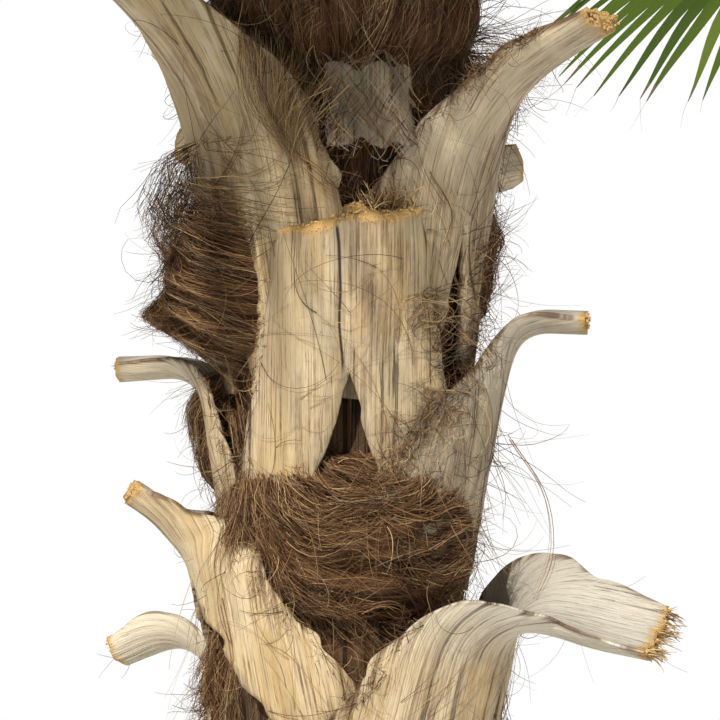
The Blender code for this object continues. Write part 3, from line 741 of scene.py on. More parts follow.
class GrainMaker:
    """Sets small round grains on points with Geometry Nodes, as the cut ends of the fibre bundles."""

    SEED = 3

    def __init__(self) -> None:
        """Builds the tree and the finish."""
        self.finish = PlainFinish("cut_grain", (0.62, 0.40, 0.15, 1.0), 0.6).build()
        self.tree = self.build_tree()

    def build_tree(self) -> bpy.types.NodeTree:
        """The tree, from loose points to small faceted balls.

        Returns:
            A tree with the inputs Coarseness and Material.
        """
        tree = bpy.data.node_groups.new("cut_grains", "GeometryNodeTree")
        group_socket(tree, "Geometry", "NodeSocketGeometry")
        group_socket(tree, "Coarseness", "NodeSocketFloat", value=1.0)
        group_socket(tree, "Material", "NodeSocketMaterial")
        group_socket(tree, "Geometry", "NodeSocketGeometry", output=True)
        make = Tree(tree)
        start = make.add("NodeGroupInput")
        size = make.add("GeometryNodeInputNamedAttribute", {"Name": "size"}, data_type="FLOAT").outputs[0]
        size = make.maths("MULTIPLY", size, start.outputs["Coarseness"])
        ball = make.add("GeometryNodeMeshIcoSphere", {"Radius": 1.0, "Subdivisions": 1}).outputs[0]
        values = {0: (0.0, 0.0, 0.0), 1: (6.28, 6.28, 6.28), "Seed": self.SEED}
        turn = make.add("FunctionNodeRandomValue", values, data_type="FLOAT_VECTOR").outputs[0]
        turn = make.add("FunctionNodeEulerToRotation", {0: turn}).outputs[0]
        values = {"Points": start.outputs["Geometry"], "Instance": ball, "Rotation": turn, "Scale": size}
        placed = make.add("GeometryNodeInstanceOnPoints", values).outputs[0]
        real = make.add("GeometryNodeRealizeInstances", {0: placed}).outputs[0]
        values = {"Geometry": real, "Material": start.outputs["Material"]}
        make.add("NodeGroupOutput", {0: make.add("GeometryNodeSetMaterial", values).outputs[0]})
        return tree

    def build(self, name: str, points: Array, sizes: Array) -> bpy.types.Object:
        """One joined piece of grains, each with its own radius."""
        mesh = bpy.data.meshes.new(name)
        mesh.from_pydata(points.tolist(), [], [])
        layer = mesh.attributes.new("size", "FLOAT", "POINT")
        layer.data.foreach_set("value", sizes.astype(np.float32))
        return grown(name, mesh, self.tree, {"Coarseness": 1.0, "Material": self.finish})


@dataclass
class Stem:
    """The trunk: old leaf scars and matted fibre over a round stem."""

    node: str = "trunk"
    sides: int = 160
    rows: int = 420
    inset: float = 0.0035
    relief: float = 0.0030

    def build(self, finish: bpy.types.Material) -> bpy.types.Object:
        """The stem's mesh with its relief, closed at the ground and at the tip."""
        heights = np.concatenate([np.linspace(0.0, TIP_START, self.rows), TIP_START
                                  + (TRUNK_HEIGHT - TIP_START) * np.sin(np.linspace(0.1, 0.999, 16) * math.pi / 2.0)])
        azimuths = np.linspace(0.0, 360.0, self.sides, endpoint=False)
        grid_height, grid_azimuth = np.meshgrid(heights, azimuths, indexing="ij")
        around = np.stack([np.cos(np.radians(grid_azimuth)), np.sin(np.radians(grid_azimuth)), grid_height], axis=-1)
        rough = Noise(3)(around, (9.0, 9.0, 14.0)) + 0.6 * Noise(4)(around, (26.0, 26.0, 9.0))
        rings = 0.5 * np.sin(grid_height * 2.0 * math.pi / 0.055 + 2.0 * Noise(5)(around, (2.0, 2.0, 3.0)))
        depth = self.relief * (rough + rings) * smoothstep(0.0, 0.02, grid_height)
        reach = np.maximum(trunk_radius(grid_height) - self.inset + depth, 0.0005)
        points = radial(grid_azimuth) * reach[..., None] + UP * grid_height[..., None]
        points = points.reshape(-1, 3)
        foot, tip = len(points), len(points) + 1
        points = np.concatenate([points, [[0.0, 0.0, 0.0], [0.0, 0.0, TRUNK_HEIGHT]]])
        faces = grid_faces(len(heights), self.sides, closed=True).tolist()
        top = (len(heights) - 1) * self.sides
        for side in range(self.sides):
            beside = (side + 1) % self.sides
            faces.append([foot, beside, side])
            faces.append([tip, top + side, top + beside])
        piece = mesh_object("stem", points, faces)
        grain = np.stack([np.radians(grid_azimuth) * TRUNK_RADIUS, grid_height, np.zeros_like(grid_height)], axis=-1)
        grain = np.concatenate([grain.reshape(-1, 3), np.zeros((2, 3))])
        point_attribute(piece, "grain", grain)
        turn_outwards(piece)
        piece.data.materials.append(finish)
        finish_piece(piece, (self.node,))
        return piece


@dataclass
class Boot:
    """One old leaf base: two legs that clasp the trunk, a ribbed face, a curled neck and a cut stalk."""

    name: str
    azimuth: float
    foot_height: float
    length: float
    lean: float = 8.0
    tip_bend: float = 70.0
    bend_start: float = 0.50
    bend_end: float = 0.95
    foot_half: float = 0.20
    face_half: float = 0.115
    neck_half: float = 0.046
    tip_half: float = 0.030
    split: float = 0.42
    leg_gap: float = 0.06
    roll: float = 0.0
    skew: float = 0.0
    channel: float = CHANNEL_RADIUS
    strands: int = 300
    grey: float = 0.35
    warm: float = 0.5
    bleach: float = 0.15
    mark: tuple = (0.0, 0.0, 0.0, 0.0)
    keel: float = 0.0035
    keel_width: float = 0.012
    pillow: float = 0.0
    slant: tuple = (0.0, 0.0)
    torn: float = 0.008
    ragged: float = 0.035
    frayed_to: float = 0.72
    bristles: int = 16
    bristle_length: float = 0.005
    grains: int = 0
    path: Array = field(init=False)

    def __post_init__(self) -> None:
        """Works out the middle line: distance from the axis, height and angle off vertical."""
        share = np.arange(PATH_STEPS + 1) / PATH_STEPS
        angle = np.radians(mix(self.lean, self.tip_bend, smoothstep(self.bend_start, self.bend_end, share)))
        step = self.length / PATH_STEPS
        start = float(trunk_radius(self.foot_height)) + GAP + FOOT_THICKNESS / 2.0
        reach = start + np.concatenate([[0.0], np.cumsum(np.sin(angle) * step)[:-1]])
        height = self.foot_height + np.concatenate([[0.0], np.cumsum(np.cos(angle) * step)[:-1]])
        self.path = np.stack([share, reach, height, angle])

    def half_width(self, share: Array) -> Array:
        """Half of the width: wide at the foot, then the face, the neck and the cut end."""
        neck = mix(self.split, 1.0, NECK_PLACE)
        leg = mix(self.foot_half, self.face_half, share / self.split)
        face = mix(self.face_half, self.neck_half, smoothstep(self.split, neck, share))
        stalk = mix(self.neck_half, self.tip_half, smoothstep(neck, 1.0, share))
        return np.where(share < self.split, leg, np.where(share < neck, face, stalk))

    def gap(self, share: Array) -> Array:
        """Half of the opening between the legs, which closes at the split."""
        return np.where(share < self.split, self.leg_gap * (1.0 - share / self.split), 0.0)

    def skin(self, share: Array, side: Array, outward: float, lift: Array | float = 0.0) -> Array:
        """Points of the shell.

        Args:
            share: place along the middle line, from the foot to the cut end.
            side: signed distance round the shell from its middle line.
            outward: 1 for the outer skin and -1 for the inner one.
            lift: height above that skin.

        Returns:
            One point for each place.
        """
        reach = np.interp(share, self.path[0], self.path[1])
        height = np.interp(share, self.path[0], self.path[2])
        angle = np.interp(share, self.path[0], self.path[3])
        out, around = radial(self.azimuth), tangent(self.azimuth)
        sine, cosine = np.sin(angle)[..., None], np.cos(angle)[..., None]
        straight = out * cosine - UP * sine
        roll = math.radians(self.roll) * smoothstep(self.split, ROLL_END, share)
        roll_sine, roll_cosine = np.sin(roll)[..., None], np.cos(roll)[..., None]
        normal = straight * roll_cosine + around * roll_sine
        across = around * roll_cosine - straight * roll_sine
        curl = mix(reach, self.channel, smoothstep(self.split, CHANNEL_END, share))
        turn = side / curl
        width = self.half_width(share)
        middle = mix(FOOT_THICKNESS, NECK_THICKNESS, smoothstep(self.split, THICK_END, share))
        edge = np.minimum(np.abs(side) / width, 1.0)
        thickness = mix(middle, EDGE_THICKNESS * 0.55, edge * edge)
        centre = out * reach[..., None] + UP * height[..., None]
        curl = curl[..., None]
        turn_sine, turn_cosine = np.sin(turn)[..., None], np.cos(turn)[..., None]
        point = centre + across * turn_sine * curl + normal * (turn_cosine - 1.0) * curl
        skin = normal * turn_cosine + across * turn_sine
        return point + skin * (outward * (thickness / 2.0 + lift))[..., None]

    def build(self, finish: bpy.types.Material, seed: int, rows: int, columns: int) -> bpy.types.Object:
        """The leaf base as one closed, ribbed shell.

        Args:
            finish: its material.
            seed: what makes it unlike its neighbours.
            rows: rows of points along it.
            columns: columns of points on each half.

        Returns:
            The finished piece.
        """
        leg_rows = max(int(rows * self.split), 6)
        shares = np.concatenate([np.linspace(0.0, self.split, leg_rows, endpoint=False),
                                 np.linspace(self.split, 1.0, rows - leg_rows)])
        spread = np.sin(np.linspace(0.0, 1.0, columns) * math.pi / 2.0) ** 0.85
        noise, ribs = Noise(seed), Noise(seed + 50)
        points, grains, zones, marks = [], [], [], []
        share_grid, spread_grid = np.meshgrid(shares, spread, indexing="ij")
        for half, slant in zip((-1.0, 1.0), self.slant):
            along = share_grid * self.length
            rough = noise(np.stack([along, np.full_like(along, half), np.zeros_like(along)], axis=-1), (55.0, 7.0, 1.0))
            width = self.half_width(share_grid) * (1.0 + self.ragged * rough)
            gap = self.gap(share_grid) * (1.0 + 0.25 * rough)
            side = half * mix(gap, width, spread_grid) * (1.0 + half * self.skew)
            place = np.stack([side, along, np.full_like(along, seed * 0.37)], axis=-1)
            relief = 0.0008 * ribs(place, (260.0, 8.0, 1.0)) + 0.0013 * ribs(place, (110.0, 6.0, 1.0))
            relief = relief + 0.0026 * noise(place, (36.0, 5.0, 1.0))
            ridge = self.keel * np.exp(-(side / self.keel_width) ** 2) * smoothstep(self.split - 0.1, 1.0, share_grid)
            plank = self.pillow * np.sin(math.pi * spread_grid)
            uneven = self.torn * (1.0 + ribs(place, (150.0, 0.0, 1.0))) + slant * spread_grid
            torn = 1.0 - uneven * smoothstep(0.85, 1.0, share_grid)
            lift = (relief + ridge + plank) * (1.0 - spread_grid ** 6)
            line = side - mix(self.mark[0], self.mark[1], share_grid) + 0.0016 * noise(place, (0.0, 22.0, 1.0))
            strength = self.mark[3] * smoothstep(self.mark[2] - 0.03, self.mark[2] + 0.03, share_grid)
            faded = self.bleach * smoothstep(self.split, NECK_PLACE + 0.1, share_grid)
            for outward in (-1.0, 1.0):
                skin = self.skin(share_grid * torn, side, outward, lift if outward > 0 else 0.3 * relief)
                points.append(skin.reshape(-1, 3))
                grains.append(place.reshape(-1, 3))
                inner = np.full_like(side, 1.0 if outward < 0 else 0.0)
                margin = np.where(share_grid < self.split, np.maximum(spread_grid, 1.0 - spread_grid * 6.0), spread_grid)
                zones.append(np.stack([margin, share_grid, inner], axis=-1).reshape(-1, 3))
                marks.append(np.stack([line, strength, faded], axis=-1).reshape(-1, 3))
        count = rows * columns
        index = np.arange(4 * count).reshape(2, 2, rows, columns)
        index[0, :, leg_rows:, 0] = index[1, :, leg_rows:, 0]
        faces = []
        for half in range(2):
            for layer in range(2):
                sheet = index[half, layer]
                quads = [sheet[:-1, :-1], sheet[:-1, 1:], sheet[1:, 1:], sheet[1:, :-1]]
                faces.append(np.stack([quad.ravel() for quad in quads], axis=1))
            for column, last in ((columns - 1, rows - 1), (0, leg_rows)):
                inner, outer = index[half, 0, :last + 1, column], index[half, 1, :last + 1, column]
                faces.append(np.stack([inner[:-1], inner[1:], outer[1:], outer[:-1]], axis=1))
            for row in (0, rows - 1):
                inner, outer = index[half, 0, row], index[half, 1, row]
                faces.append(np.stack([inner[:-1], inner[1:], outer[1:], outer[:-1]], axis=1))
        faces = np.concatenate(faces)
        points = np.concatenate(points)
        used, packed = np.unique(faces, return_inverse=True)
        piece = mesh_object("base_" + self.name.removeprefix("boot_"), points[used], packed.reshape(faces.shape))
        point_attribute(piece, "grain", np.concatenate(grains)[used])
        point_attribute(piece, "zone", np.concatenate(zones)[used])
        marks = np.concatenate(marks)[used]
        point_attribute(piece, "mark", marks)
        ends = np.ones(len(used))
        point_attribute(piece, "tint", np.stack([self.grey * ends, self.warm * ends, marks[:, 2]], axis=-1))
        turn_outwards(piece)
        piece.data.materials.append(finish)
        finish_piece(piece, (self.name,))
        return piece

    def margin_lines(self, draw: np.random.Generator, noise: Noise) -> Array:
        """Lines of the fibre that frays from the margins.

        Args:
            draw: the source of chance.
            noise: what curls the strands.

        Returns:
            Points by strand and step.
        """
        count = self.strands
        half = draw.choice([-1.0, 1.0], count)
        share = self.frayed_to * draw.uniform(0.0, 1.0, count) ** 0.8
        side = half * self.half_width(share) * draw.uniform(0.90, 1.0, count) * (1.0 + half * self.skew)
        start = self.skin(share, side, draw.choice([-1.0, 1.0]))
        ahead = self.skin(share, side * 1.12, 1.0)
        upward = self.skin(np.minimum(share + 0.05, 1.0), side, 1.0)
        heading = unit(ahead - start) * draw.uniform(0.0, 0.8, (count, 1))
        heading = heading + unit(upward - start) * draw.uniform(-1.0, 0.6, (count, 1))
        heading = unit(heading + draw.normal(0.0, 0.25, (count, 3)) - UP * 0.35)
        length = draw.uniform(0.008, 0.026, count) * draw.choice([1.0, 1.0, 1.0, 1.8, 3.0], count)
        return curly_lines(start, heading, length, draw, noise, 2.2)

    def end_points(self, draw: np.random.Generator, count: int, share: float) -> Array:
        """Points that lie anywhere in the wall near the cut end."""
        half = draw.choice([0, 1], count)
        spread = draw.uniform(0.0, 0.94, count)
        side = np.where(half, 1.0, -1.0) * spread * self.tip_half
        fall = 1.0 - np.array(self.slant)[half] * spread - self.torn * draw.uniform(0.3, 1.6, count)
        return self.skin(share * fall, side, draw.uniform(-0.85, 0.85, count))

    def bristle_lines(self, draw: np.random.Generator, noise: Noise) -> Array:
        """Lines of the stiff ends of fibre that stand out of the cut."""
        start = self.end_points(draw, self.bristles, 0.995)
        middle = self.skin(np.array([0.93, 0.995]), np.zeros(2), 0.0)
        heading = unit(middle[1] - middle[0]) + draw.normal(0.0, 0.20, start.shape)
        length = self.bristle_length * draw.uniform(0.4, 1.3, self.bristles)
        return curly_lines(start, unit(heading), length, draw, noise, 0.3)


def curly_lines(start: Array, heading: Array, length: Array, draw: np.random.Generator,
                noise: Noise, curl: float) -> Array:
    """Strands that curve evenly from their roots, with a little wander.

    Args:
        start: their roots.
        heading: their first directions.
        length: their lengths.
        draw: the source of chance.
        noise: what makes them wander, alike for near neighbours.
        curl: about how many radians they turn from end to end.

    Returns:
        Points by strand and step.
    """
    axis = unit(np.cross(heading, draw.normal(0.0, 1.0, start.shape)))
    turn = draw.normal(0.0, curl, (len(start), 1)) / STRAND_STEPS
    step = (length / STRAND_STEPS)[:, None]
    points, course = [start], heading
    for _ in range(STRAND_STEPS):
        here = points[-1]
        swirl = np.stack([noise(here + shift, 24.0) for shift in (0.0, 7.3, 13.1)], axis=-1)
        course = unit(course + np.cross(axis, course) * turn + swirl * curl * 0.10 - UP * 0.04)
        points.append(here + course * step)
    return np.stack(points, axis=1)


@dataclass
class FibreMass:
    """One mass of fibre that hugs the trunk: a ridged mat under combed locks and loose curls."""

    name: str
    azimuth: float
    height: float
    half_angle: float
    half_height: float
    bulge: float
    locks: int = 40
    curls: int = 100
    slope: float = 0.0
    bend: float = 0.0
    upright: bool = False
    swirl: float = 0.6
    thin_top: float = 0.0
    mixture: tuple = RUSTY
    node: bool = True

    LOCK_SIZE = 16
    MIDDLE_RADIUS = 0.19

    def reach(self, across: Array, upward: Array) -> Array:
        """Distance of the mat's skin from the trunk's axis."""
        across, upward = np.asarray(across, float), np.asarray(upward, float)
        radius = (np.abs(across) ** 3 + np.abs(upward) ** 3) ** (1.0 / 3.0)
        dome = np.maximum(1.0 - radius * radius, 0.0) ** 0.7
        height = self.height + self.half_height * upward
        azimuth = self.azimuth + self.half_angle * across
        place = np.stack([np.sin(np.radians(azimuth)), np.cos(np.radians(azimuth)), height], axis=-1)
        combed = np.stack([*self.combed(across * self.half_side, height - self.height), 0.0 * height], axis=-1)
        lump = 0.70 + 0.26 * LUMPS(place, (4.0, 4.0, 20.0)) + 0.17 * PITS(combed, (62.0, 9.0, 1.0))
        lump = lump + 0.09 * LUMPS(combed, (150.0, 14.0, 1.0))
        thick = self.bulge * (1.0 - self.thin_top * smoothstep(-0.25, 0.65, upward))
        return trunk_radius(height) + thick * dome * np.clip(lump, 0.2, 1.0) - 0.002

    @property
    def half_side(self) -> float:
        """Half of the mass's length round the trunk, in metres."""
        return math.radians(self.half_angle) * self.MIDDLE_RADIUS

    def combed(self, side: Array, rise: Array) -> tuple[Array, Array]:
        """Distances across and along the comb, for places round and up from the mass's middle."""
        first, second = (rise, side) if self.upright else (side, rise)
        steep = self.slope + self.bend * first
        across = second - self.slope * first - self.bend * first * first / 2.0
        return across / np.sqrt(1.0 + steep * steep), first * np.sqrt(1.0 + steep * steep)

    def flow(self, side: Array, rise: Array) -> Array:
        """The comb's angle above the level, in radians."""
        if self.upright:
            return np.arctan2(-1.0, -self.slope - self.bend * rise)
        return np.arctan(self.slope + self.bend * side)

    def point(self, across: Array, upward: Array, lift: Array | float = 0.0) -> Array:
        """A point at a height above the mat's skin."""
        across, upward = np.asarray(across, float), np.asarray(upward, float)
        azimuth = self.azimuth + self.half_angle * across
        height = self.height + self.half_height * upward
        return radial(azimuth) * (self.reach(across, upward) + lift)[..., None] + UP * height[..., None]

    def build_mat(self, finish: bpy.types.Material, rows: int = 56, columns: int = 88) -> bpy.types.Object:
        """The ridged mat, closed behind by triangles that meet inside the trunk."""
        upward, across = np.meshgrid(np.linspace(-1.0, 1.0, rows), np.linspace(-1.0, 1.0, columns), indexing="ij")
        front = self.point(across, upward).reshape(-1, 3)
        faces = grid_faces(rows, columns).tolist()
        rim = list(range(columns - 1))
        rim += [row * columns + columns - 1 for row in range(rows - 1)]
        rim += [(rows - 1) * columns + column for column in range(columns - 1, 0, -1)]
        rim += [row * columns for row in range(rows - 1, 0, -1)]
        for first, second in zip(rim, rim[1:] + rim[:1]):
            faces.append([second, first, rows * columns])
        middle = UP * self.height
        piece = mesh_object("mat_" + self.name.removeprefix("fibre_"), np.concatenate([front, [middle]]), faces)
        combed = self.combed(across * self.half_side, upward * self.half_height)
        grain = np.stack([*combed, np.full_like(across, self.azimuth)], axis=-1).reshape(-1, 3)
        point_attribute(piece, "grain", np.concatenate([grain, grain[:1]]))
        turn_outwards(piece)
        piece.data.materials.append(finish)
        finish_piece(piece, (self.name,) if self.node else ())
        return piece

    def lock_lines(self, draw: np.random.Generator, noise: Noise) -> Array:
        """Lines of the locks, whose strands run side by side along the comb.

        Args:
            draw: the source of chance.
            noise: what makes neighbouring locks swirl alike.

        Returns:
            Points by strand and step.
        """
        lock, strand = (self.locks, 1), (self.locks, self.LOCK_SIZE)
        length = draw.uniform(0.06, 0.17, lock) * draw.uniform(0.6, 1.15, strand)
        side = draw.uniform(-1.05, 1.05, lock) * self.half_side
        rise = draw.uniform(-1.0, 1.0, lock) * self.half_height
        first = self.flow(side, rise)
        apart = draw.normal(0.0, 0.0055, strand)
        back = length * draw.uniform(0.35, 0.65, lock)
        side = side - np.cos(first) * back - np.sin(first) * apart
        rise = rise - np.sin(first) * back + np.cos(first) * apart
        offset = draw.normal(0.0, 0.22 * self.swirl, lock) + draw.normal(0.0, 0.10, strand)
        arc = draw.normal(0.0, 0.9 * self.swirl, lock) + draw.normal(0.0, 0.35, strand)
        wave, phase = draw.uniform(0.0, 0.22, strand), draw.uniform(0.0, 6.28, strand)
        sides, rises = [side], [rise]
        for index in range(LOCK_STEPS):
            share = index / LOCK_STEPS - 0.5
            place = np.stack([side, rise, np.full_like(side, self.azimuth)], axis=-1)
            angle = self.flow(side, rise) + self.swirl * noise(place, 9.0) + offset + arc * share
            angle = angle + wave * np.sin(phase + 9.0 * share)
            side = side + np.cos(angle) * length / LOCK_STEPS
            rise = rise + np.sin(angle) * length / LOCK_STEPS
            sides.append(side)
            rises.append(rise)
        across = np.stack(sides, axis=-1).reshape(-1, LOCK_STEPS + 1) / self.half_side
        upward = np.stack(rises, axis=-1).reshape(-1, LOCK_STEPS + 1) / self.half_height
        lift = (draw.uniform(0.0, 0.008, lock) + np.abs(draw.normal(0.0, 0.0016, strand))).reshape(-1, 1)
        free = (draw.exponential(0.010, lock) * draw.uniform(0.3, 1.4, strand)).reshape(-1, 1)
        ending = np.clip(np.linspace(-0.9, 1.0, LOCK_STEPS + 1), 0.0, 1.0) ** 2
        hung = self.bulge * self.thin_top * draw.uniform(0.0, 0.9, len(lift))[:, None]
        net = hung * smoothstep(-0.1, 0.6, upward) * smoothstep(1.3, 0.9, upward)
        return self.point(across, upward, lift + free * ending + net)

    def curl_lines(self, draw: np.random.Generator, noise: Noise) -> Array:
        """Lines of the loose curls that stand off the mass."""
        across, upward = draw.uniform(-0.95, 0.95, (2, self.curls))
        start = self.point(across, upward)
        heading = unit(start * np.array([1.0, 1.0, 0.0])) * draw.uniform(0.0, 0.8, (self.curls, 1))
        heading = unit(heading + draw.normal(0.0, 0.6, (self.curls, 3)) - UP * draw.uniform(0.0, 0.8, (self.curls, 1)))
        length = draw.uniform(0.03, 0.075, self.curls) * draw.choice([1.0, 1.0, 1.0, 1.8], self.curls)
        return curly_lines(start, heading, length, draw, noise, 2.4)


class Draper:
    """Rests strands on whichever of the plant's surfaces a straight way meets first."""

    REACH = 3.0
    TAUT_ROUNDS = 14
    SLACK = 0.0003

    def __init__(self, pieces: list[bpy.types.Object]) -> None:
        """Gathers the surfaces of the pieces."""
        points, faces = [], []
        for piece in pieces:
            start = len(points)
            points += [tuple(vertex.co) for vertex in piece.data.vertices]
            faces += [[start + index for index in face.vertices] for face in piece.data.polygons]
        self.surface = BVHTree.FromPolygons(points, faces)

    def settle(self, starts: Array, ways: Array, lift: Array | float, step_limit: float) -> Array:
        """Moves lines of points along their ways until they rest on the plant, taut over its hollows.

        Args:
            starts: points by strand and step, clear of the plant.
            ways: the unit direction of each point's way.
            lift: how far above the surface they stay.
            step_limit: the largest change of depth between neighbours that a strand may have.

        Returns:
            The lines that meet the plant and stay within the limit.
        """
        depth = np.full(starts.shape[:2], np.nan)
        for strand, step in np.ndindex(*depth.shape):
            met = self.surface.ray_cast(starts[strand, step].tolist(), ways[strand, step].tolist(), self.REACH)
            if met[0] is not None:
                depth[strand, step] = met[3]
        steps = np.arange(depth.shape[1])
        kept = []
        for strand, row in enumerate(depth):
            met = np.isfinite(row)
            if met.any():
                row[:] = np.interp(steps, steps[met], row[met])
                if np.abs(np.diff(row)).max() < step_limit:
                    kept.append(strand)
        depth = depth[kept]
        for _ in range(self.TAUT_ROUNDS):
            middle = (depth[:, :-2] + depth[:, 2:]) / 2.0
            depth[:, 1:-1] = np.minimum(depth[:, 1:-1], middle + self.SLACK)
        lift = np.broadcast_to(lift, starts.shape[:2])[kept]
        return starts[kept] + ways[kept] * (depth - lift)[..., None]

    def drape(self, draw: np.random.Generator, count: int, front: float) -> Array:
        """Strands blown against the trunk all round, more of them on the side that shows.

        Args:
            draw: the source of chance.
            count: how many are tried.
            front: the share that lies within a quarter turn of the front.

        Returns:
            Points by strand and step.
        """
        wide = np.where(draw.random(count) < front, 90.0, 180.0)
        azimuth = draw.uniform(-1.0, 1.0, count) * wide
        height = draw.uniform(0.95, 1.95, count)
        angle = draw.normal(math.pi / 2.0, 0.9, count)
        bend = draw.normal(0.0, 1.6, count)
        step = draw.uniform(0.05, 0.20, count) / DRAPED_STEPS
        azimuths, heights = [azimuth], [height]
        for index in range(DRAPED_STEPS):
            here = angle + bend * (index / DRAPED_STEPS - 0.5)
            azimuth = azimuth + np.degrees(np.cos(here) * step / 0.19)
            height = height + np.sin(here) * step
            azimuths.append(azimuth)
            heights.append(height)
        ways = -radial(np.stack(azimuths, axis=1))
        starts = -ways * 0.60 + UP * np.stack(heights, axis=1)[..., None]
        arc = np.sin(np.linspace(0.0, math.pi, DRAPED_STEPS + 1))
        lift = 0.0012 + arc * draw.exponential(0.0035, count)[:, None]
        return self.settle(starts, ways, lift, 0.03)


@dataclass
class Tuft:
    """A loose bunch of curling strands that springs from one place on the trunk."""

    azimuth: float
    height: float
    wide: float
    tall: float
    count: int
    length: float
    out: float = 0.4
    round: float = 0.0
    rise: float = 0.0
    curl: float = 2.2
    mixture: tuple = MIXED

    def lines(self, draw: np.random.Generator, noise: Noise, draper: Draper) -> Array:
        """The strands, rooted on whatever shows there."""
        azimuth = self.azimuth + draw.normal(0.0, self.wide / 2.0, (self.count, 1))
        height = self.height + draw.normal(0.0, self.tall / 2.0, (self.count, 1))
        roots = np.repeat(radial(azimuth) * 0.60 + UP * height[..., None], 2, axis=1)
        ways = np.repeat(-radial(azimuth), 2, axis=1)
        start = draper.settle(roots, ways, 0.0, 1.0)[:, 0]
        size = len(start)
        outward = unit(start * np.array([1.0, 1.0, 0.0]))
        around = np.cross(UP, outward)
        heading = outward * self.out + around * self.round + UP * self.rise + draw.normal(0.0, 0.30, (size, 3))
        length = self.length * draw.uniform(0.4, 1.25, size)
        return curly_lines(start, unit(heading), length, draw, noise, self.curl)


@dataclass
class SeenStrands:
    """Strands that lie where the photograph shows them, between places given in its pixels."""

    studio: Studio

    def settle(self, pixels: Array, lift: Array | float, draper: Draper) -> Array:
        """Lays lines of pixels on the plant, as seen from the camera."""
        ways = unit(self.studio.way(pixels))
        starts = np.array(self.studio.camera_place) + ways * 0.9
        return draper.settle(starts, ways, lift, 0.10)

    @staticmethod
    def curve(knots: Array, steps: int) -> Array:
        """A smooth line through a few places, at even steps along them."""
        knots = np.asarray(knots, float)
        run = np.concatenate([[0.0], np.cumsum(np.linalg.norm(np.diff(knots, axis=0), axis=1))])
        slopes = np.gradient(knots, run, axis=0)
        places = np.linspace(0.0, run[-1], steps + 1)
        index = np.clip(np.searchsorted(run, places, side="right") - 1, 0, len(run) - 2)
        size = (run[index + 1] - run[index])[:, None]
        share = (places - run[index])[:, None] / size
        first = (1.0 + 2.0 * share) * (1.0 - share) ** 2 * knots[index]
        second = share * share * (3.0 - 2.0 * share) * knots[index + 1]
        bend = share * (1.0 - share) * ((1.0 - share) * slopes[index] - share * slopes[index + 1]) * size
        return first + second + bend

    def clump(self, draw: np.random.Generator, draper: Draper, count: int = 240) -> Array:
        """Hair that gathers from the upper left leaf base's margin to one knot and trails on from it."""
        spread_from, spread_to = np.array([238.0, 26.0]), np.array([340.0, 84.0])
        knot, tail = np.array([292.0, 152.0]), np.array([346.0, 206.0])
        lines = []
        for _ in range(count):
            start = mix(spread_from, spread_to, draw.random()) + draw.normal(0.0, 7.0, 2)
            sway = mix(start, knot, 0.55) + draw.normal(0.0, 9.0, 2) + np.array([-10.0, 6.0])
            end = knot + draw.normal(0.0, 5.0, 2) if draw.random() > 0.05 else tail + draw.normal(0.0, 6.0, 2)
            middle = [knot + draw.normal(0.0, 3.0, 2)] if end[1] > 180.0 else []
            lines.append(self.curve([start, sway, *middle, end], DRAPED_STEPS))
        return self.settle(np.array(lines), draw.uniform(0.001, 0.012, (count, 1)), draper)

    def fringe(self, draw: np.random.Generator, draper: Draper, course: tuple, wide: float, count: int) -> Array:
        """Short dark curls along a margin.

        Args:
            draw: the source of chance.
            draper: what they rest on.
            course: places along the margin.
            wide: how far they spread beside it, in pixels.
            count: how many they are.

        Returns:
            Points by strand and step.
        """
        margin = self.curve(course, 100)
        start = margin[draw.integers(0, 101, count)] + draw.normal(0.0, wide / 2.0, (count, 2))
        angle = draw.uniform(0.0, 6.28, count)
        turn = draw.normal(0.0, 3.2, count) / DRAPED_STEPS
        step = draw.uniform(14.0, 46.0, count) / DRAPED_STEPS
        lines = [start]
        for _ in range(DRAPED_STEPS):
            lines.append(lines[-1] + np.stack([np.cos(angle), np.sin(angle)], axis=1) * step[:, None])
            angle = angle + turn
        lift = draw.uniform(0.0005, 0.009, (count, 1))
        return self.settle(np.stack(lines, axis=1), lift, draper)

    def singles(self, draw: np.random.Generator, draper: Draper) -> Array:
        """The long strands that stand out by themselves."""
        courses = (
            ((474, 292), (472, 240), (478, 198), (502, 178), (532, 181), (548, 203), (566, 194)),
            ((476, 300), (470, 262), (474, 214), (486, 190)),
            ((214, 192), (229, 171), (241, 146), (247, 120)),
            ((222, 158), (240, 178), (262, 172), (290, 150)),
            ((292, 152), (318, 168), (346, 204)),
            ((296, 154), (326, 180), (352, 198)),
            ((405, 300), (432, 292), (462, 306), (474, 330)),
            ((410, 324), (430, 300), (458, 296), (478, 312)),
            ((438, 392), (470, 396), (488, 430), (470, 470)),
            ((446, 400), (480, 380), (492, 410), (486, 462)),
            ((506, 430), (520, 500), (514, 570), (530, 640)),
            ((512, 440), (548, 500), (552, 560), (536, 600)),
            ((204, 560), (208, 620), (226, 670), (232, 718)),
            ((212, 566), (206, 640), (214, 690), (208, 719)),
            ((222, 600), (232, 650), (236, 700), (244, 719)),
            ((448, 190), (462, 230), (456, 280), (470, 300)),
            ((430, 170), (452, 210), (440, 262), (452, 290)),
        )
        lines = [self.curve(course, DRAPED_STEPS) + draw.normal(0.0, 2.0, 2) * number
                 for course in courses for number in (0, 1, 1)]
        return self.settle(np.array(lines), 0.004, draper)


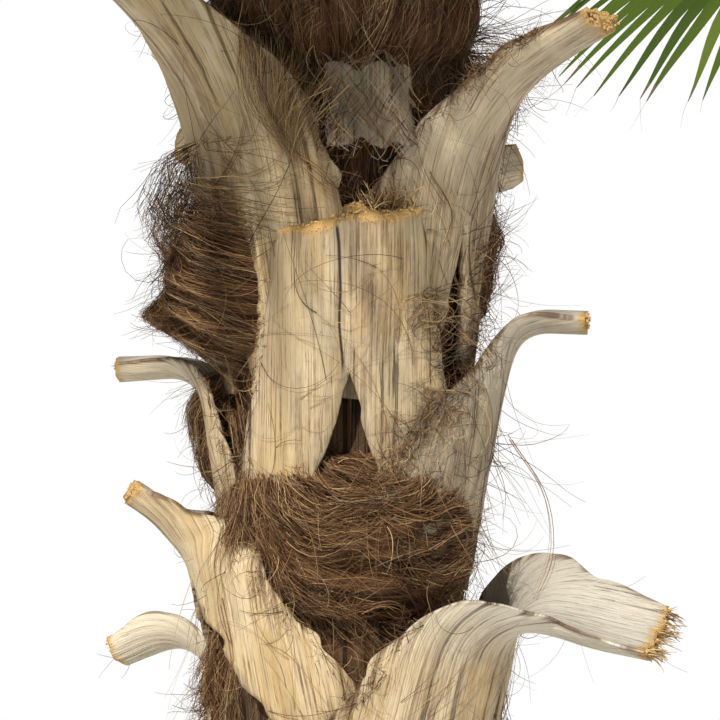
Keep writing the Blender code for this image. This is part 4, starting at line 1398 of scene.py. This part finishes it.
@dataclass
class SheathCloth:
    """A scrap of the woven leaf sheath that hangs between the upper leaf bases."""

    azimuth: float = 8.0
    height: float = 1.782
    reach: float = 0.192
    half_width: float = 0.046
    half_height: float = 0.044
    thickness: float = 0.0012
    threads: int = 120

    def point(self, across: Array, upward: Array, lift: Array | float = 0.0) -> Array:
        """A point of the cloth, which is creased and hangs forward at its foot."""
        across, upward = np.asarray(across, float), np.asarray(upward, float)
        place = np.stack([across, upward, np.full_like(across, 3.3)], axis=-1)
        wave = 0.007 * LUMPS(place, (1.6, 0.9, 1.0)) - 0.008 * across * across - 0.010 * upward
        side = radial(self.azimuth) * (self.reach + wave + lift)[..., None] + tangent(self.azimuth) * (
            across * self.half_width * (1.0 + 0.16 * LUMPS(place, (0.4, 3.0, 1.0))))[..., None]
        rise = self.height + self.half_height * upward * (1.0 + 0.22 * PITS(place, (4.0, 0.3, 1.0)))
        return side + UP * rise[..., None]

    def build(self, finish: bpy.types.Material, rows: int = 30, columns: int = 34) -> bpy.types.Object:
        """The cloth as a thin closed sheet."""
        upward, across = np.meshgrid(np.linspace(-1.0, 1.0, rows), np.linspace(-1.0, 1.0, columns), indexing="ij")
        sheets = [self.point(across, upward, lift).reshape(-1, 3) for lift in (0.0, -self.thickness)]
        count = rows * columns
        faces = grid_faces(rows, columns).tolist() + grid_faces(rows, columns, count)[:, ::-1].tolist()
        rim = list(range(columns - 1)) + [row * columns + columns - 1 for row in range(rows - 1)]
        rim += [count - 1 - column for column in range(columns - 1)]
        rim += [row * columns for row in range(rows - 1, 0, -1)]
        for first, second in zip(rim, rim[1:] + rim[:1]):
            faces.append([second, first, first + count, second + count])
        piece = mesh_object("sheath_cloth", np.concatenate(sheets), faces)
        grain = np.stack([across * self.half_width, upward * self.half_height, 0.0 * across], axis=-1)
        point_attribute(piece, "grain", np.tile(grain.reshape(-1, 3), (2, 1)))
        turn_outwards(piece)
        piece.data.materials.append(finish)
        finish_piece(piece)
        return piece

    def lines(self, draw: np.random.Generator) -> Array:
        """Two families of threads that cross, some of them frayed past the edges."""
        way = draw.choice([-1.0, 1.0], self.threads) * draw.normal(0.62, 0.06, self.threads)
        middle = draw.uniform(-0.95, 0.95, (2, self.threads, 1))
        share = np.linspace(-1.0, 1.0, LOCK_STEPS + 1) * draw.uniform(0.4, 1.1, (self.threads, 1))
        across = middle[0] + np.sin(way)[:, None] * share * self.half_height / self.half_width
        upward = middle[1] + np.cos(way)[:, None] * share
        edge = np.maximum(np.maximum(np.abs(across), np.abs(upward)) - 1.0, 0.0)
        return self.point(np.clip(across, -1.25, 1.25), np.clip(upward, -1.35, 1.2), 0.0008 + 0.03 * edge)


@dataclass
class Frond:
    """One fan leaf: a stalk that runs on through the blade as its costa, and pleated leaflets."""

    name: str
    azimuth: float
    base_height: float
    rise: float
    sag: float
    stalk: float
    size: float
    fold: float
    arch: float
    droop: float
    spread: float
    tip_sag: float = 0.03
    leaflets: int = 44

    @classmethod
    def at(cls, index: int) -> Frond:
        """The frond at a place in the crown's spiral, from the lowest and oldest, 0, to the youngest."""
        draw = random.Random(FROND_SEED + index)
        share = index / (FROND_COUNT - 1)
        middle_age = 4.0 * share * (1.0 - share)
        return cls(
            name=f"frond_{index + 1:02d}",
            azimuth=FIRST_AZIMUTH + GOLDEN_ANGLE * index,
            base_height=mix(2.06, 2.40, share),
            rise=mix(14.0, 86.0, share ** AGE_POWER),
            sag=6.0 + 20.0 * middle_age,
            stalk=mix(0.96, 0.80, share) * draw.uniform(0.95, 1.05),
            size=mix(1.0, 0.86, share),
            fold=mix(-29.0, 56.0, share),
            arch=mix(16.0, 34.0, share) + 26.0 * middle_age,
            droop=mix(0.29, 0.20, share) + 0.3 * middle_age,
            spread=mix(1.0, 0.42, float(smoothstep(FOLDED_FROM, 1.0, share))),
            tip_sag=mix(0.006, 0.070, middle_age),
        )

    def run(self) -> tuple[Array, Array]:
        """Points and elevations along the stalk, from inside the trunk to the hub of the blade."""
        out = radial(self.azimuth)
        point = out * (float(trunk_radius(self.base_height)) - STALK_SINK) + UP * self.base_height
        step = self.stalk / STALK_STEPS
        points, angles = [], []
        for index in range(STALK_STEPS + 1):
            share = index / STALK_STEPS
            angle = math.radians(self.rise - self.sag * share ** SAG_POWER)
            points.append(point.copy())
            angles.append(angle)
            point = point + (out * math.cos(angle) + UP * math.sin(angle)) * step
        return np.array(points), np.array(angles)

    def costa(self, hub: Array, angle: float, place: Array) -> tuple[Array, Array]:
        """Points and elevations on the costa at shares of its length."""
        place = np.asarray(place, float)
        out = radial(self.azimuth)
        point = np.broadcast_to(hub, place.shape + (3,)).copy()
        step = COSTA_LENGTH * self.size * place / BLADE_STEPS
        for index in range(BLADE_STEPS):
            bend = angle - math.radians(self.arch) * place * (index + 0.5) / BLADE_STEPS
            point += (out * np.cos(bend)[..., None] + UP * np.sin(bend)[..., None]) * step[..., None]
        return point, angle - math.radians(self.arch) * place

    def lines(self, hub: Array, angle: float, place: Array, steps: int) -> tuple[Array, Array, Array]:
        """Lines of the blade out from the costa.

        Args:
            hub: where the stalk meets the blade.
            angle: the stalk's elevation there.
            place: from -1 and 1 at the basal edges to 0 at the costa's end.
            steps: how many runs each line has.

        Returns:
            Points, directions and normals, by line and step.
        """
        place = np.asarray(place, float)
        away = np.abs(place)
        side = np.where(place >= 0.0, 1.0, -1.0)
        start, bend = self.costa(hub, angle, (1.0 - away) ** COSTA_POWER)
        out, around = radial(self.azimuth), tangent(self.azimuth)
        cosine, sine = np.cos(bend)[:, None], np.sin(bend)[:, None]
        forward = out * cosine + UP * sine
        upward = UP * cosine - out * sine
        fold = np.radians(self.fold) * np.minimum(away * FOLD_STEEPNESS, 1.0)
        fold_cosine, fold_sine = np.cos(fold)[:, None], np.sin(fold)[:, None]
        lateral = around * side[:, None] * fold_cosine + upward * fold_sine
        normal = upward * fold_cosine - around * side[:, None] * fold_sine
        spread = np.radians(BASAL_ANGLE) * self.spread * away ** SPREAD_POWER
        heading = forward * np.cos(spread)[:, None] + lateral * np.sin(spread)[:, None]
        length = LEAFLET_LENGTH * self.size * (1.0 - BASAL_SHORTER * away * away)
        point = start
        points, courses, normals = [], [], []
        for index in range(steps + 1):
            share = index / steps
            course = unit(heading - UP * self.droop * share ** DROOP_POWER)
            square = unit(normal - course * np.sum(normal * course, axis=1, keepdims=True))
            points.append(point)
            courses.append(course)
            normals.append(square)
            point = point + course * (length / steps)[:, None]
        return np.stack(points, 1), np.stack(courses, 1), np.stack(normals, 1)

    def build(self, greens: list[bpy.types.Material], stalk_finish: bpy.types.Material, seed: int,
              steps: int = 12) -> Array:
        """The blade and the stalk.

        Args:
            greens: the leaflets' materials.
            stalk_finish: the stalk's material.
            seed: what makes it unlike its neighbours.
            steps: runs along each leaflet.

        Returns:
            Lines of the threads that hang at the splits and tips.
        """
        draw = np.random.default_rng(seed)
        run, angles = self.run()
        hub, angle = run[-1], float(angles[-1])
        seams = np.linspace(-1.0, 1.0, self.leaflets + 1)
        middles = (seams[1:] + seams[:-1]) / 2.0
        seam_points, _, seam_normals = self.lines(hub, angle, seams, steps)
        points, courses, normals = self.lines(hub, angle, middles, steps)
        across = np.cross(normals, courses)
        wide = np.einsum("ijk,ijk->ij", seam_points[1:] - seam_points[:-1], across)
        across = across * np.sign(wide[:, 1:2, None])
        splits = draw.uniform(0.40, 0.55, self.leaflets)
        vertices, faces, shades = [], [], []
        roots, headings = [], []
        share = np.linspace(0.0, 1.0, steps + 1)
        for leaf in range(self.leaflets):
            split = splits[leaf]
            droop = draw.uniform(0.2, 1.4) * self.tip_sag * smoothstep(0.62, 1.0, share) ** 1.5
            sway = draw.normal(0.0, 0.016) * smoothstep(split, 1.0, share)
            middle = points[leaf] - UP * droop[:, None] + across[leaf] * sway[:, None]
            left, right = seam_points[leaf], seam_points[leaf + 1]
            width_here = np.linalg.norm(right - left, axis=1) / 2.0
            width_split = float(np.interp(split, share, width_here))
            past = np.clip((share - split) / (1.0 - split), 0.0, 1.0)
            free_width = width_split * (1.0 - past ** 1.5) * 0.86 + 0.0004
            joined = (share <= split)[:, None]
            left = np.where(joined, left, middle - across[leaf] * free_width[:, None])
            right = np.where(joined, right, middle + across[leaf] * free_width[:, None])
            depth = np.where(share <= split, width_here, free_width) * 0.55
            crease = middle - normals[leaf] * depth[:, None]
            rib = normals[leaf] * 0.0011
            ring = np.stack([left, crease + rib * 0.5, right, crease - rib * 1.5], axis=1)
            start = len(vertices) * 4 * (steps + 1)
            vertices.append(ring.reshape(-1, 3))
            quads = grid_faces(steps + 1, 4, start, closed=True)
            faces += quads.tolist() + [[start, start + 1, start + 2, start + 3]]
            end = start + steps * 4
            faces.append([end + 3, end + 2, end + 1, end])
            shade = int(draw.choice([0, 1, 1, 2]))
            row = np.repeat(np.arange(steps), 4)
            tip_from = draw.uniform(0.86, 0.97)
            shades += np.where(row / steps >= tip_from, 3, shade).tolist() + [shade, 3]
            roots.append(middle[-1])
            headings.append(courses[leaf, -1] + draw.normal(0.0, 0.25, 3) - UP * 0.4)
        blade = mesh_object(self.name.replace("frond", "blade"), np.concatenate(vertices), faces, smooth=False)
        for green in greens:
            blade.data.materials.append(green)
        blade.data.polygons.foreach_set("material_index", np.array(shades, np.int32))
        turn_outwards(blade)
        finish_piece(blade, (self.name,))
        self.build_stalk(run, angles, stalk_finish)
        length = draw.uniform(0.015, 0.07, self.leaflets)
        return curly_lines(np.array(roots), unit(np.array(headings)), length, draw, LUMPS, 0.5)

    def build_stalk(self, run: Array, angles: Array, finish: bpy.types.Material, sides: int = 12) -> None:
        """The stalk and costa as one smooth tapering rod, hollowed on top near its base."""
        places = np.linspace(0.0, 0.97, 10)[1:]
        costa_points, costa_angles = self.costa(run[-1], float(angles[-1]), places)
        points = np.concatenate([run, costa_points])
        bends = np.concatenate([angles, costa_angles])
        share = np.linspace(0.0, 1.0, len(points))
        half_width = np.interp(share, [0.0, 0.19, 0.64, 1.0], [0.042, 0.019, 0.016, 0.0035])
        half_depth = np.interp(share, [0.0, 0.19, 0.64, 1.0], [0.019, 0.012, 0.010, 0.0030])
        turn = 2.0 * math.pi * np.arange(sides) / sides
        out, around = radial(self.azimuth), tangent(self.azimuth)
        upward = UP * np.cos(bends)[:, None] - out * np.sin(bends)[:, None]
        hollow = np.where(np.sin(turn) > 0.0, 0.45, 1.0)
        ring = points[:, None, :] + around * (np.cos(turn)[None, :] * half_width[:, None])[..., None]
        lift = np.sin(turn)[None, :] * hollow[None, :] - 0.60
        ring = ring + upward[:, None, :] * (lift * half_depth[:, None])[..., None]
        faces = grid_faces(len(points), sides, closed=True).tolist()
        faces.append(list(range(sides)))
        faces.append([(len(points) - 1) * sides + side for side in reversed(range(sides))])
        piece = mesh_object(self.name.replace("frond", "stalk"), ring.reshape(-1, 3), faces)
        along = np.repeat(share[:, None], sides, axis=1)
        grain = np.stack([np.broadcast_to(turn * 0.016, along.shape), along * self.stalk * 1.3, 0.0 * along], axis=-1)
        zone = np.stack([0.0 * along, along, 0.0 * along], axis=-1)
        point_attribute(piece, "grain", grain.reshape(-1, 3))
        point_attribute(piece, "zone", zone.reshape(-1, 3))
        turn_outwards(piece)
        piece.data.materials.append(finish)
        finish_piece(piece)


@dataclass
class Spear:
    """The youngest leaf, still folded: pleats wound round a slim tapering shaft."""

    node: str = "spear_leaf"
    length: float = 0.92
    radius: float = 0.021
    sink: float = 0.06
    pleats: int = 14

    def build(self, finish: bpy.types.Material, sides: int = 84, rows: int = 60) -> bpy.types.Object:
        """The folded leaf as one closed pleated shaft."""
        share = np.linspace(0.0, 1.0, rows)
        size = self.radius * np.sqrt(np.maximum(1.0 - share, 0.0)) * mix(0.75, 1.0, smoothstep(0.0, 0.3, share))
        turn = np.linspace(0.0, 2.0 * math.pi, sides, endpoint=False)
        along, around = np.meshgrid(share, turn, indexing="ij")
        pleat = 1.0 - 0.16 * (0.5 + 0.5 * np.cos(around * self.pleats + along * 5.0)) * smoothstep(0.05, 0.3, along)
        reach = size[:, None] * pleat + 0.0004
        height = TRUNK_HEIGHT - self.sink + along * self.length
        points = np.stack([np.cos(around) * reach, np.sin(around) * reach, height], axis=-1).reshape(-1, 3)
        faces = grid_faces(rows, sides, closed=True).tolist()
        faces.append(list(range(sides)))
        faces.append([(rows - 1) * sides + side for side in reversed(range(sides))])
        piece = mesh_object("folded_leaf", points, faces)
        grain = np.stack([around * self.radius, along * self.length, 0.0 * along], axis=-1)
        zone = np.stack([0.0 * along, 0.3 + 0.0 * along, 0.0 * along], axis=-1)
        point_attribute(piece, "grain", grain.reshape(-1, 3))
        point_attribute(piece, "zone", zone.reshape(-1, 3))
        turn_outwards(piece)
        piece.data.materials.append(finish)
        finish_piece(piece, (self.node,))
        return piece


@dataclass
class CutStub:
    """The grainy stub at the front leaf base's cut and the frayed crown beside it."""

    place: tuple = (0.009, -0.178, 1.655)
    size: tuple = (0.018, 0.015, 0.019)
    crown: tuple = (0.043, -0.172, 1.668)
    crown_spread: tuple = (0.014, 0.006, 0.005)
    spikes: int = 190
    grains: int = 260

    def build(self, finish: bpy.types.Material, draw: np.random.Generator, noise: Noise) -> tuple[Array, Array]:
        """The stub.

        Args:
            finish: the leaf base's material, whose cut colour the stub shows.
            draw: the source of chance.
            noise: what roughens it.

        Returns:
            The grains that stud it and the lines of the crown's spikes.
        """
        shape = bmesh.new()
        bmesh.ops.create_icosphere(shape, subdivisions=5, radius=1.0)
        ball = np.array([vert.co for vert in shape.verts])
        faces = [[vert.index for vert in face.verts] for face in shape.faces]
        shape.free()
        rough = 1.0 + 0.18 * noise(ball, 3.0) + 0.12 * LUMPS(ball, 8.0) + 0.07 * PITS(ball, 17.0)
        points = np.array(self.place) + ball * rough[:, None] * np.array(self.size)
        piece = mesh_object("cut_stub", points, faces)
        for name, values in (("grain", points * 2.0), ("zone", np.tile([0.0, 1.0, 0.0], (len(points), 1))),
                             ("tint", np.tile([0.1, 1.0, 0.0], (len(points), 1))),
                             ("mark", np.tile([1.0, 0.0, 0.0], (len(points), 1)))):
            point_attribute(piece, name, values)
        turn_outwards(piece)
        piece.data.materials.append(finish)
        finish_piece(piece)
        start = np.array(self.crown) + draw.normal(0.0, 1.0, (self.spikes, 3)) * np.array(self.crown_spread)
        heading = unit(draw.normal(0.0, 0.42, (self.spikes, 3)) + UP * 0.9)
        length = draw.uniform(0.010, 0.032, self.spikes)
        return points[draw.choice(len(points), self.grains)], curly_lines(start, heading, length, draw, noise, 0.5)


@dataclass
class Clothing:
    """The leaf bases and the fibre between them."""

    studio: Studio
    low_count: int = 12
    low_top: float = 0.72
    low_foot: float = 0.03
    low_azimuth: float = 20.0
    rear: tuple = ((162, 0.98), (-150, 1.08), (152, 1.24), (-168, 1.38), (176, 1.62))
    margin_parts: int = 3
    draped: int = 620

    def shown_boots(self) -> list[Boot]:
        """The leaf bases that the photograph shows."""
        return [
            Boot("boot_upper_left", -56, 1.46, 0.60, 8, 54, 0.32, 0.90, 0.20, 0.150, 0.060, 0.036, 0.50, 0.020,
                 grey=0.25, warm=0.75, bleach=0.05, strands=620, frayed_to=0.9, keel=0.001, grains=50),
            Boot("boot_upper_right", 50, 1.45, 0.518, 8, 69, 0.38, 0.92, 0.19, 0.125, 0.050, 0.034, 0.40, 0.035,
                 grey=0.50, warm=0.35, bleach=0.20, strands=620, frayed_to=0.9, keel=0.001, grains=80,
                 mark=(0.062, 0.020, 0.50, 0.75)),
            Boot("boot_front", 1, 1.27, 0.400, 8, 24, 0.60, 1.00, 0.165, 0.112, 0.102, 0.086, 0.55, 0.060,
                 channel=0.11, grey=0.45, warm=0.80, bleach=0.0, mark=(-0.004, -0.012, 0.55, 1.0), keel=-0.009,
                 keel_width=0.007, pillow=0.007, slant=(0.075, 0.012), torn=0.006, ragged=0.012, strands=260,
                 bristles=40, grains=60),
            Boot("boot_right_mid", 82, 1.22, 0.410, 9, 92, 0.66, 0.90, 0.25, 0.165, 0.040, 0.022, 0.45, 0.050,
                 channel=0.07, grey=0.70, warm=0.25, bleach=0.35, strands=520, grains=70),
            Boot("boot_left_mid", -96, 1.25, 0.335, 8, 92, 0.55, 0.85, 0.17, 0.085, 0.032, 0.024, 0.58, 0.060,
                 grey=0.30, warm=0.60, bleach=0.45, grains=50),
            Boot("boot_left_low", -74, 0.965, 0.418, 9, 58, 0.62, 1.00, 0.33, 0.148, 0.048, 0.030, 0.68, 0.240,
                 grey=0.15, warm=0.90, bleach=0.10, strands=520, keel=0.001, grains=90),
            Boot("boot_right_low", 66, 0.90, 0.475, 12, 100, 0.52, 0.76, 0.34, 0.200, 0.066, 0.050, 0.50, 0.045, 28,
                 grey=0.25, warm=0.65, bleach=0.95, strands=420, keel=0.0, frayed_to=0.6, bristles=110,
                 bristle_length=0.021, grains=70),
            Boot("boot_left_base", -108, 0.90, 0.375, 8, 115, 0.50, 0.90, 0.18, 0.090, 0.040, 0.028, 0.45, 0.060, 40,
                 bleach=0.6, frayed_to=0.6, grains=40),
            Boot("boot_left_rear", -128, 1.50, 0.34, 8, 80, 0.55, 0.90, 0.16, 0.085, 0.036, 0.034, 0.40, 0.040, 60,
                 grains=60),
            Boot("boot_right_rear", 124, 1.49, 0.31, 8, 75, 0.55, 0.90, 0.16, 0.085, 0.036, 0.034, 0.40, 0.040, -60,
                 grains=60),
        ]

    def hidden_boots(self) -> list[Boot]:
        """The leaf bases behind and below, which follow a rule."""
        draw = random.Random(11)
        hidden = [Boot(f"boot_rear_{index + 1}", azimuth, height, draw.uniform(0.40, 0.48), lean=10.0,
                       tip_bend=draw.uniform(50.0, 85.0), foot_half=0.20, face_half=0.120, strands=130, grains=20)
                  for index, (azimuth, height) in enumerate(self.rear)]
        draw = random.Random(7)
        for index in range(self.low_count):
            share = index / (self.low_count - 1)
            azimuth = self.low_azimuth + GOLDEN_ANGLE * index + draw.uniform(-6.0, 6.0)
            length, bend, end = draw.uniform(0.38, 0.46), draw.uniform(50.0, 95.0), draw.uniform(0.80, 0.95)
            hidden.append(Boot(f"boot_low_{index + 1:02d}", azimuth, mix(self.low_foot, self.low_top, share), length,
                               lean=10.0, tip_bend=bend, bend_start=0.50, bend_end=end, foot_half=0.20,
                               face_half=0.125, neck_half=0.044, roll=draw.uniform(-25.0, 25.0), strands=130,
                               grey=0.2 + 0.6 * (index * 0.37 % 1.0), warm=0.3 + 0.6 * (index * 0.61 % 1.0),
                               grains=20))
        return hidden

    def masses(self) -> list[FibreMass]:
        """Every mass of fibre."""
        return [
            FibreMass("fibre_left", -74, 1.615, 38, 0.130, 0.135, 150, 200, -0.95, 3.0, thin_top=0.72),
            FibreMass("fibre_front_low", -2, 1.30, 72, 0.095, 0.062, 150, 260, -0.25, 5.0, swirl=0.8),
            FibreMass("fibre_left_low", -88, 1.12, 20, 0.080, 0.040, 22, 60, upright=True),
            FibreMass("fibre_right", 88, 1.62, 24, 0.080, 0.055, 34, 120, 1.0, 0.0),
            FibreMass("fibre_crown_front", -2, 1.94, 84, 0.110, 0.075, 160, 260, 0.0, 0.0, True, 0.9, mixture=RUSTY),
            FibreMass("fibre_crown_rear", 178, 1.94, 84, 0.110, 0.075, 70, 150, 0.0, 0.0, True, 0.9),
            FibreMass("fibre_rear", 170, 1.50, 50, 0.100, 0.055, 36, 80, 0.3, 2.0),
            FibreMass("fibre_low", -20, 0.80, 60, 0.090, 0.055, 50, 140, 0.0, 4.0),
            FibreMass("fibre_bundle", -93, 1.415, 13, 0.080, 0.075, 46, 50, 0.25, 0.0, True, 0.25, mixture=MIXED,
                      node=False),
            # The throat's dark mat and dusky strands fill the hollow under the crown fibre: partly fibre, partly
            # painted shade.
            FibreMass("fibre_throat", 2, 1.765, 32, 0.130, 0.028, 50, 120, 0.0, 0.0, True, 0.7, mixture=DUSKY,
                      node=False),
        ]

    def tufts(self) -> list[Tuft]:
        """Loose bunches: those that the photograph shows, then a few behind by rule."""
        shown = [
            Tuft(64, 1.60, 12, 0.05, 90, 0.080, 0.3, 0.7, 0.4, 2.8, DUSKY),
            Tuft(80, 1.36, 14, 0.14, 70, 0.120, 0.35, 0.25, -0.6, 1.6),
            Tuft(86, 1.05, 10, 0.10, 40, 0.090, 0.25, 0.1, -0.8, 1.6),
            Tuft(-92, 1.63, 12, 0.06, 70, 0.065, 0.5, -0.2, -0.3, 2.6, DUSKY),
            Tuft(-68, 1.19, 8, 0.05, 60, 0.150, 0.12, 0.0, -1.0, 0.6, SANDY),
            Tuft(32, 1.55, 10, 0.03, 50, 0.060, 0.3, 0.5, 0.2, 3.2, SANDY),
            Tuft(44, 1.44, 9, 0.06, 70, 0.070, 0.3, -0.2, -0.2, 3.0),
            Tuft(78, 1.85, 16, 0.06, 240, 0.110, 1.0, 0.1, 0.1, 1.0, DUSKY),
            Tuft(-84, 1.10, 12, 0.08, 120, 0.050, 0.4, 0.0, -0.4, 2.4, DUSKY),
        ]
        return shown + [Tuft(120 + 40 * index, 1.05 + 0.6 * (index * 0.38 % 1.0), 20, 0.10, 40, 0.09)
                        for index in range(4)]

    def build(self, effects: SharedEffects, strands: StrandMaker, grains: GrainMaker, stem: bpy.types.Object) -> None:
        """Every leaf base, mat and strand.

        Args:
            effects: the shared shader groups.
            strands: the maker of strands.
            grains: the maker of grains.
            stem: the stem, which loose strands may rest on.
        """
        boot_finish = BootFinish().build(effects)
        mat_finish = MatFinish().build(effects)
        draw = np.random.default_rng(5)
        noise = Noise(17)
        shown, hidden = self.shown_boots(), self.hidden_boots()
        boots = shown + hidden
        surfaces = [boot.build(boot_finish, 200 + number, 112, 26) for number, boot in enumerate(shown)]
        surfaces += [boot.build(boot_finish, 230 + number, 64, 13) for number, boot in enumerate(hidden)]
        LOG.info("leaf bases: %d", len(boots))
        masses = self.masses()
        surfaces += [mass.build_mat(mat_finish) for mass in masses]
        margin = np.concatenate([boot.margin_lines(draw, noise) for boot in boots])
        for part, lines in enumerate(np.array_split(margin, self.margin_parts)):
            self.add_strands(strands, f"margin_fibres_{part + 1}", lines, draw, RUSTY)
        studs = [boot.end_points(draw, boot.grains, 1.0) for boot in boots]
        stub_grains, spikes = CutStub().build(boot_finish, draw, noise)
        bristles = np.concatenate([boot.bristle_lines(draw, noise) for boot in boots] + [spikes])
        self.add_strands(strands, "cut_bristles", bristles, draw, GOLDEN, 2.3)
        studs = np.concatenate([*studs, stub_grains])
        finish_piece(grains.build("cut_grains", studs, draw.uniform(0.0008, 0.0022, len(studs))))
        for mass in masses:
            name = mass.name.removeprefix("fibre_")
            self.add_strands(strands, "locks_" + name, mass.lock_lines(draw, noise), draw, mass.mixture)
        curls = np.concatenate([mass.curl_lines(draw, noise) for mass in masses])
        self.add_strands(strands, "fibre_curls", curls, draw, RUSTY)
        sleeve = FibreMass("sleeve", 0, 1.40, 178, 0.60, 0.006, 75, upright=True, swirl=0.9)
        self.add_strands(strands, "locks_sleeve", sleeve.lock_lines(draw, noise), draw, RUSTY)
        cloth = SheathCloth()
        sheath = MatFinish("sheath_cloth", (0.11, 0.08, 0.05, 1.0), (0.22, 0.17, 0.12, 1.0), (0.42, 0.35, 0.25, 1.0), 1.0)
        surfaces += [stem, cloth.build(sheath.build(effects))]
        self.add_strands(strands, "cloth_threads", cloth.lines(draw), draw, (0.1, 0.2, 0.2, 0.05, 0.45))
        self.build_draped(strands, draw, noise, Draper(surfaces))

    def build_draped(self, strands: StrandMaker, draw: np.random.Generator, noise: Noise, draper: Draper) -> None:
        """The strands that lie over the leaf bases and spring from between them.

        Args:
            strands: the maker of strands.
            draw: the source of chance.
            noise: what makes them wander.
            draper: what they rest on.
        """
        self.add_strands(strands, "draped_strands", draper.drape(draw, self.draped, 0.65), draw, MIXED)
        seen = SeenStrands(self.studio)
        self.add_strands(strands, "hair_clump", seen.clump(draw, draper), draw, SANDY, 0.8)
        bands = (
            (((492, 316), (468, 352), (430, 410), (398, 462), (376, 494)), 16.0, 300),
            (((262, 8), (292, 60), (322, 108), (350, 176)), 9.0, 110),
            (((440, 74), (470, 62), (500, 60)), 10.0, 90),
            (((424, 300), (440, 330), (452, 366)), 14.0, 90),
            (((205, 486), (250, 540), (330, 612), (352, 640)), 7.0, 120),
        )
        curls = np.concatenate([seen.fringe(draw, draper, *band) for band in bands])
        self.add_strands(strands, "margin_curls", curls, draw, MIXED)
        self.add_strands(strands, "long_strands", seen.singles(draw, draper), draw, SANDY, 1.5)
        for number, tuft in enumerate(self.tufts()):
            lines = tuft.lines(draw, noise, draper)
            self.add_strands(strands, f"tuft_{number + 1:02d}", lines, draw, tuft.mixture)

    @staticmethod
    def add_strands(strands: StrandMaker, name: str, lines: Array, draw: np.random.Generator,
                    mixture: tuple, stout: float = 1.0) -> None:
        """One piece of strands, dealt their shades by the mixture.

        Args:
            strands: the maker of strands.
            name: the piece's name.
            lines: points by strand and step.
            draw: the source of chance.
            mixture: the share of each shade.
            stout: how many times the usual thickness they have.
        """
        widths = draw.uniform(0.00026, 0.00060, len(lines)) * stout
        shades = draw.choice(len(Shade), len(lines), p=mixture)
        piece = strands.build(name, lines, widths, shades)
        finish_piece(piece)
        LOG.info("%s: %d strands, %d faces", name, len(lines), len(piece.data.polygons))


@dataclass
class Crown:
    """The fan fronds and the folded leaf in their middle."""

    count: int = FROND_COUNT

    def build(self, effects: SharedEffects, strands: StrandMaker) -> None:
        """Every frond, its threads and the folded leaf.

        Args:
            effects: the shared shader groups.
            strands: the maker of strands.
        """
        greens = [green.value.build() for green in Green]
        stalk_finish = StalkFinish().build(effects)
        threads = np.concatenate([Frond.at(index).build(greens, stalk_finish, 400 + index)
                                  for index in range(self.count)])
        draw = np.random.default_rng(6)
        piece = strands.build("frond_threads", threads, draw.uniform(0.0003, 0.0006, len(threads)),
                              draw.choice([2, 3], len(threads)))
        finish_piece(piece)
        Spear().build(stalk_finish)
        LOG.info("fronds: %d, threads: %d", self.count, len(threads))


def main() -> None:
    """Builds the plant's looks in order and reports each piece."""
    logging.basicConfig(level=logging.INFO, format="%(name)s: %(message)s", stream=sys.stdout)
    for leftover in list(bpy.data.objects):
        bpy.data.objects.remove(leftover, do_unlink=True)
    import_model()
    effects = SharedEffects()
    strands = StrandMaker()
    studio = Studio()
    studio.build()
    # The stem's near-black ground is painted shade, darkening the hollows between the leaf bases and the fibre.
    stem = Stem().build(MatFinish("old_stem", thread=(0.22, 0.145, 0.08, 1.0), crossing=0.8).build(effects))
    Clothing(studio).build(effects, strands, GrainMaker(), stem)
    Crown().build(effects, strands)


if __name__ == "__main__":
    main()
